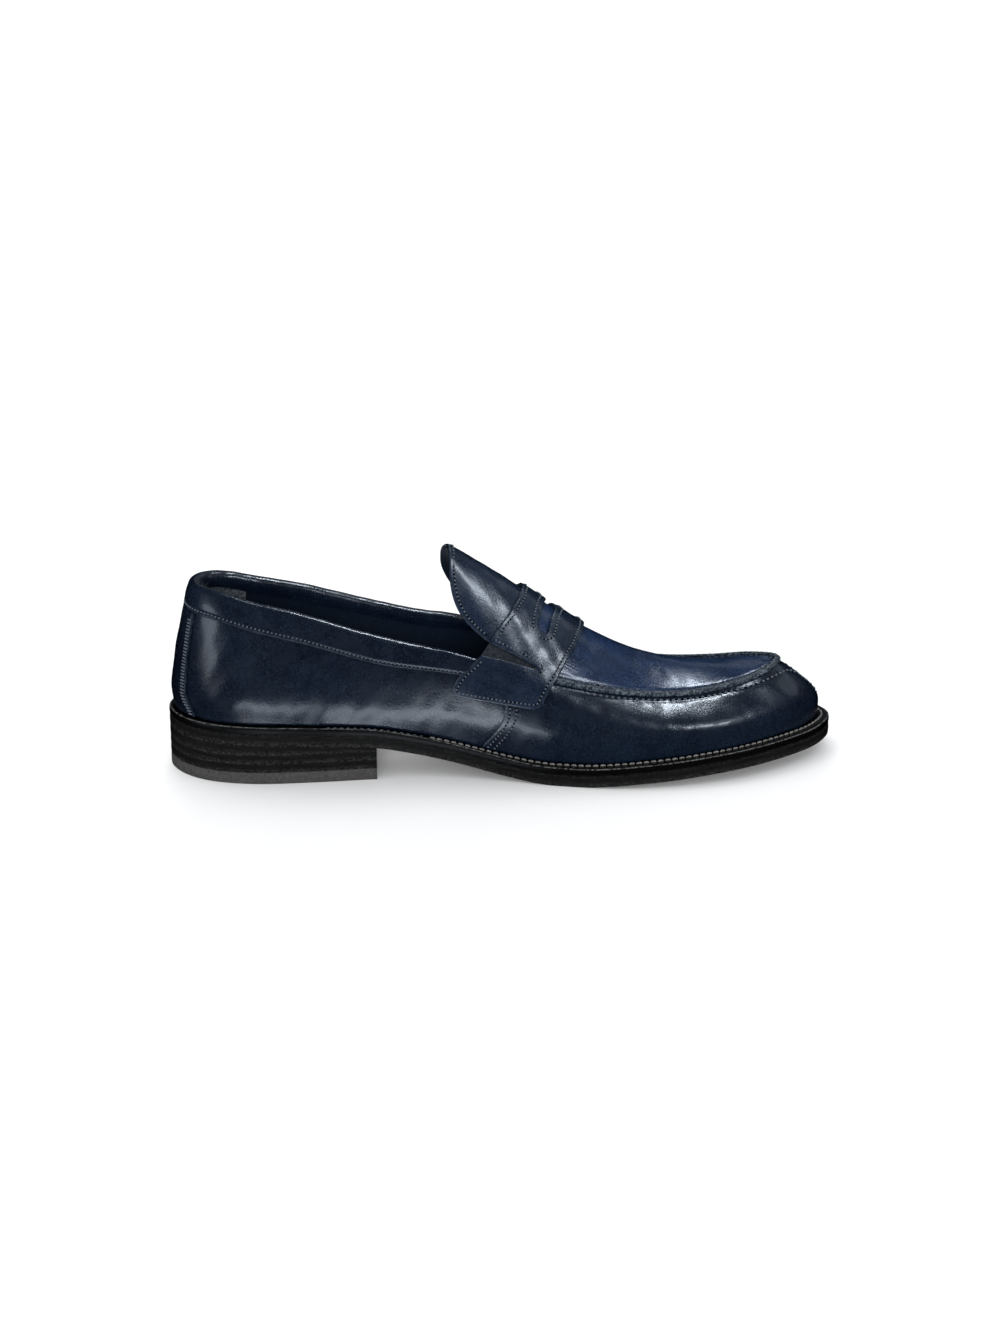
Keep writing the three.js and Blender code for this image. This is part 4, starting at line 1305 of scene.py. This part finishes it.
def softbox(name, azimuth, elevation, distance, size, power, **kinds):
    """A soft light round the shoe: azimuth 0 is the camera's side and 90 beyond the toe."""
    turn, tilt = math.radians(azimuth), math.radians(elevation)
    centre = Vector((0, 0, 0.05))
    away = Vector((math.sin(turn) * math.cos(tilt), -math.cos(turn) * math.cos(tilt), math.sin(tilt)))
    area_light(name, centre + away * distance, centre, size, power, **kinds)


def lights():
    """Even light from above and both sides, and cards that only the gloss of the leather shows."""
    softbox("ceiling", -145, 68, 3.6, (2.4, 2.4), 34, glossy=False)
    softbox("fill_front", 0, 14, 14, (9, 5), 1400, glossy=False)
    softbox("fill_back", 180, 14, 14, (9, 5), 1400, glossy=False)
    softbox("overhead", 146, 61, 2.4, (0.3, 0.3), 15, diffuse=False)
    softbox("right_high", 59, 50, 2.2, (0.3, 0.3), 9, diffuse=False)
    softbox("toe_side", 112, 35, 2.3, (0.9, 0.7), 1.4, diffuse=False)
    softbox("behind", 172, 26, 2.5, (1.6, 0.4), 0.8, diffuse=False)
    softbox("left_low", -60, 6, 2.0, (0.9, 0.8), 6, diffuse=False)
    for side in (-1, 1):
        for x, y, depth in ((-0.118, 0.088, 0.03), (-0.038, 0.07, 0.022)):
            place = Vector((x, side * y, 0.002))
            area_light("low_bounce", place, place + Vector((0, 0, 1)), (0.08, depth), 0.028, diffuse=False)
    world = bpy.data.worlds.new("studio")
    bpy.context.scene.world = world
    world.use_nodes = True
    sky = world.node_tree.nodes["Background"].inputs
    sky["Color"].default_value = (0.97, 0.985, 1, 1)
    sky["Strength"].default_value = 0.92
    world.cycles_visibility.glossy = False


CAMERA_TURN, CAMERA_TILT, CAMERA_DISTANCE = math.radians(3.6), math.radians(19.5), 1.2
CAMERA_AIM = (153.0, -2.4, 43.5)  # on the shoe, in its own millimetres
FOCAL, SENSOR = 93.3, 36.0


def camera():
    """Side on and a little above, turned slightly towards the heel."""
    look = np.array([math.sin(CAMERA_TURN) * math.cos(CAMERA_TILT),
                     math.cos(CAMERA_TURN) * math.cos(CAMERA_TILT), -math.sin(CAMERA_TILT)])
    right = np.array([math.cos(CAMERA_TURN), -math.sin(CAMERA_TURN), 0])
    up = np.cross(right, look)
    place = to_frame(np.array(CAMERA_AIM)) - look * CAMERA_DISTANCE
    data = bpy.data.cameras.new("camera")
    data.lens, data.sensor_width, data.sensor_fit = FOCAL, SENSOR, "HORIZONTAL"
    data.clip_start, data.clip_end = 0.05, 100
    eye = placed("camera", data)
    eye.matrix_world = Matrix((*np.stack([right, up, -look, place], 1).tolist(), (0, 0, 0, 1)))
    bpy.context.scene.camera = eye


build_leather()
build_bottom()
sew_strap()
sew_collar()
sew_backstay()
sew_vamp_seam()
sew_apron()
sew_welt()
sew_tongue()
carried_over()
floor()
lights()
camera()
bpy.context.scene.view_settings.view_transform = "Standard"
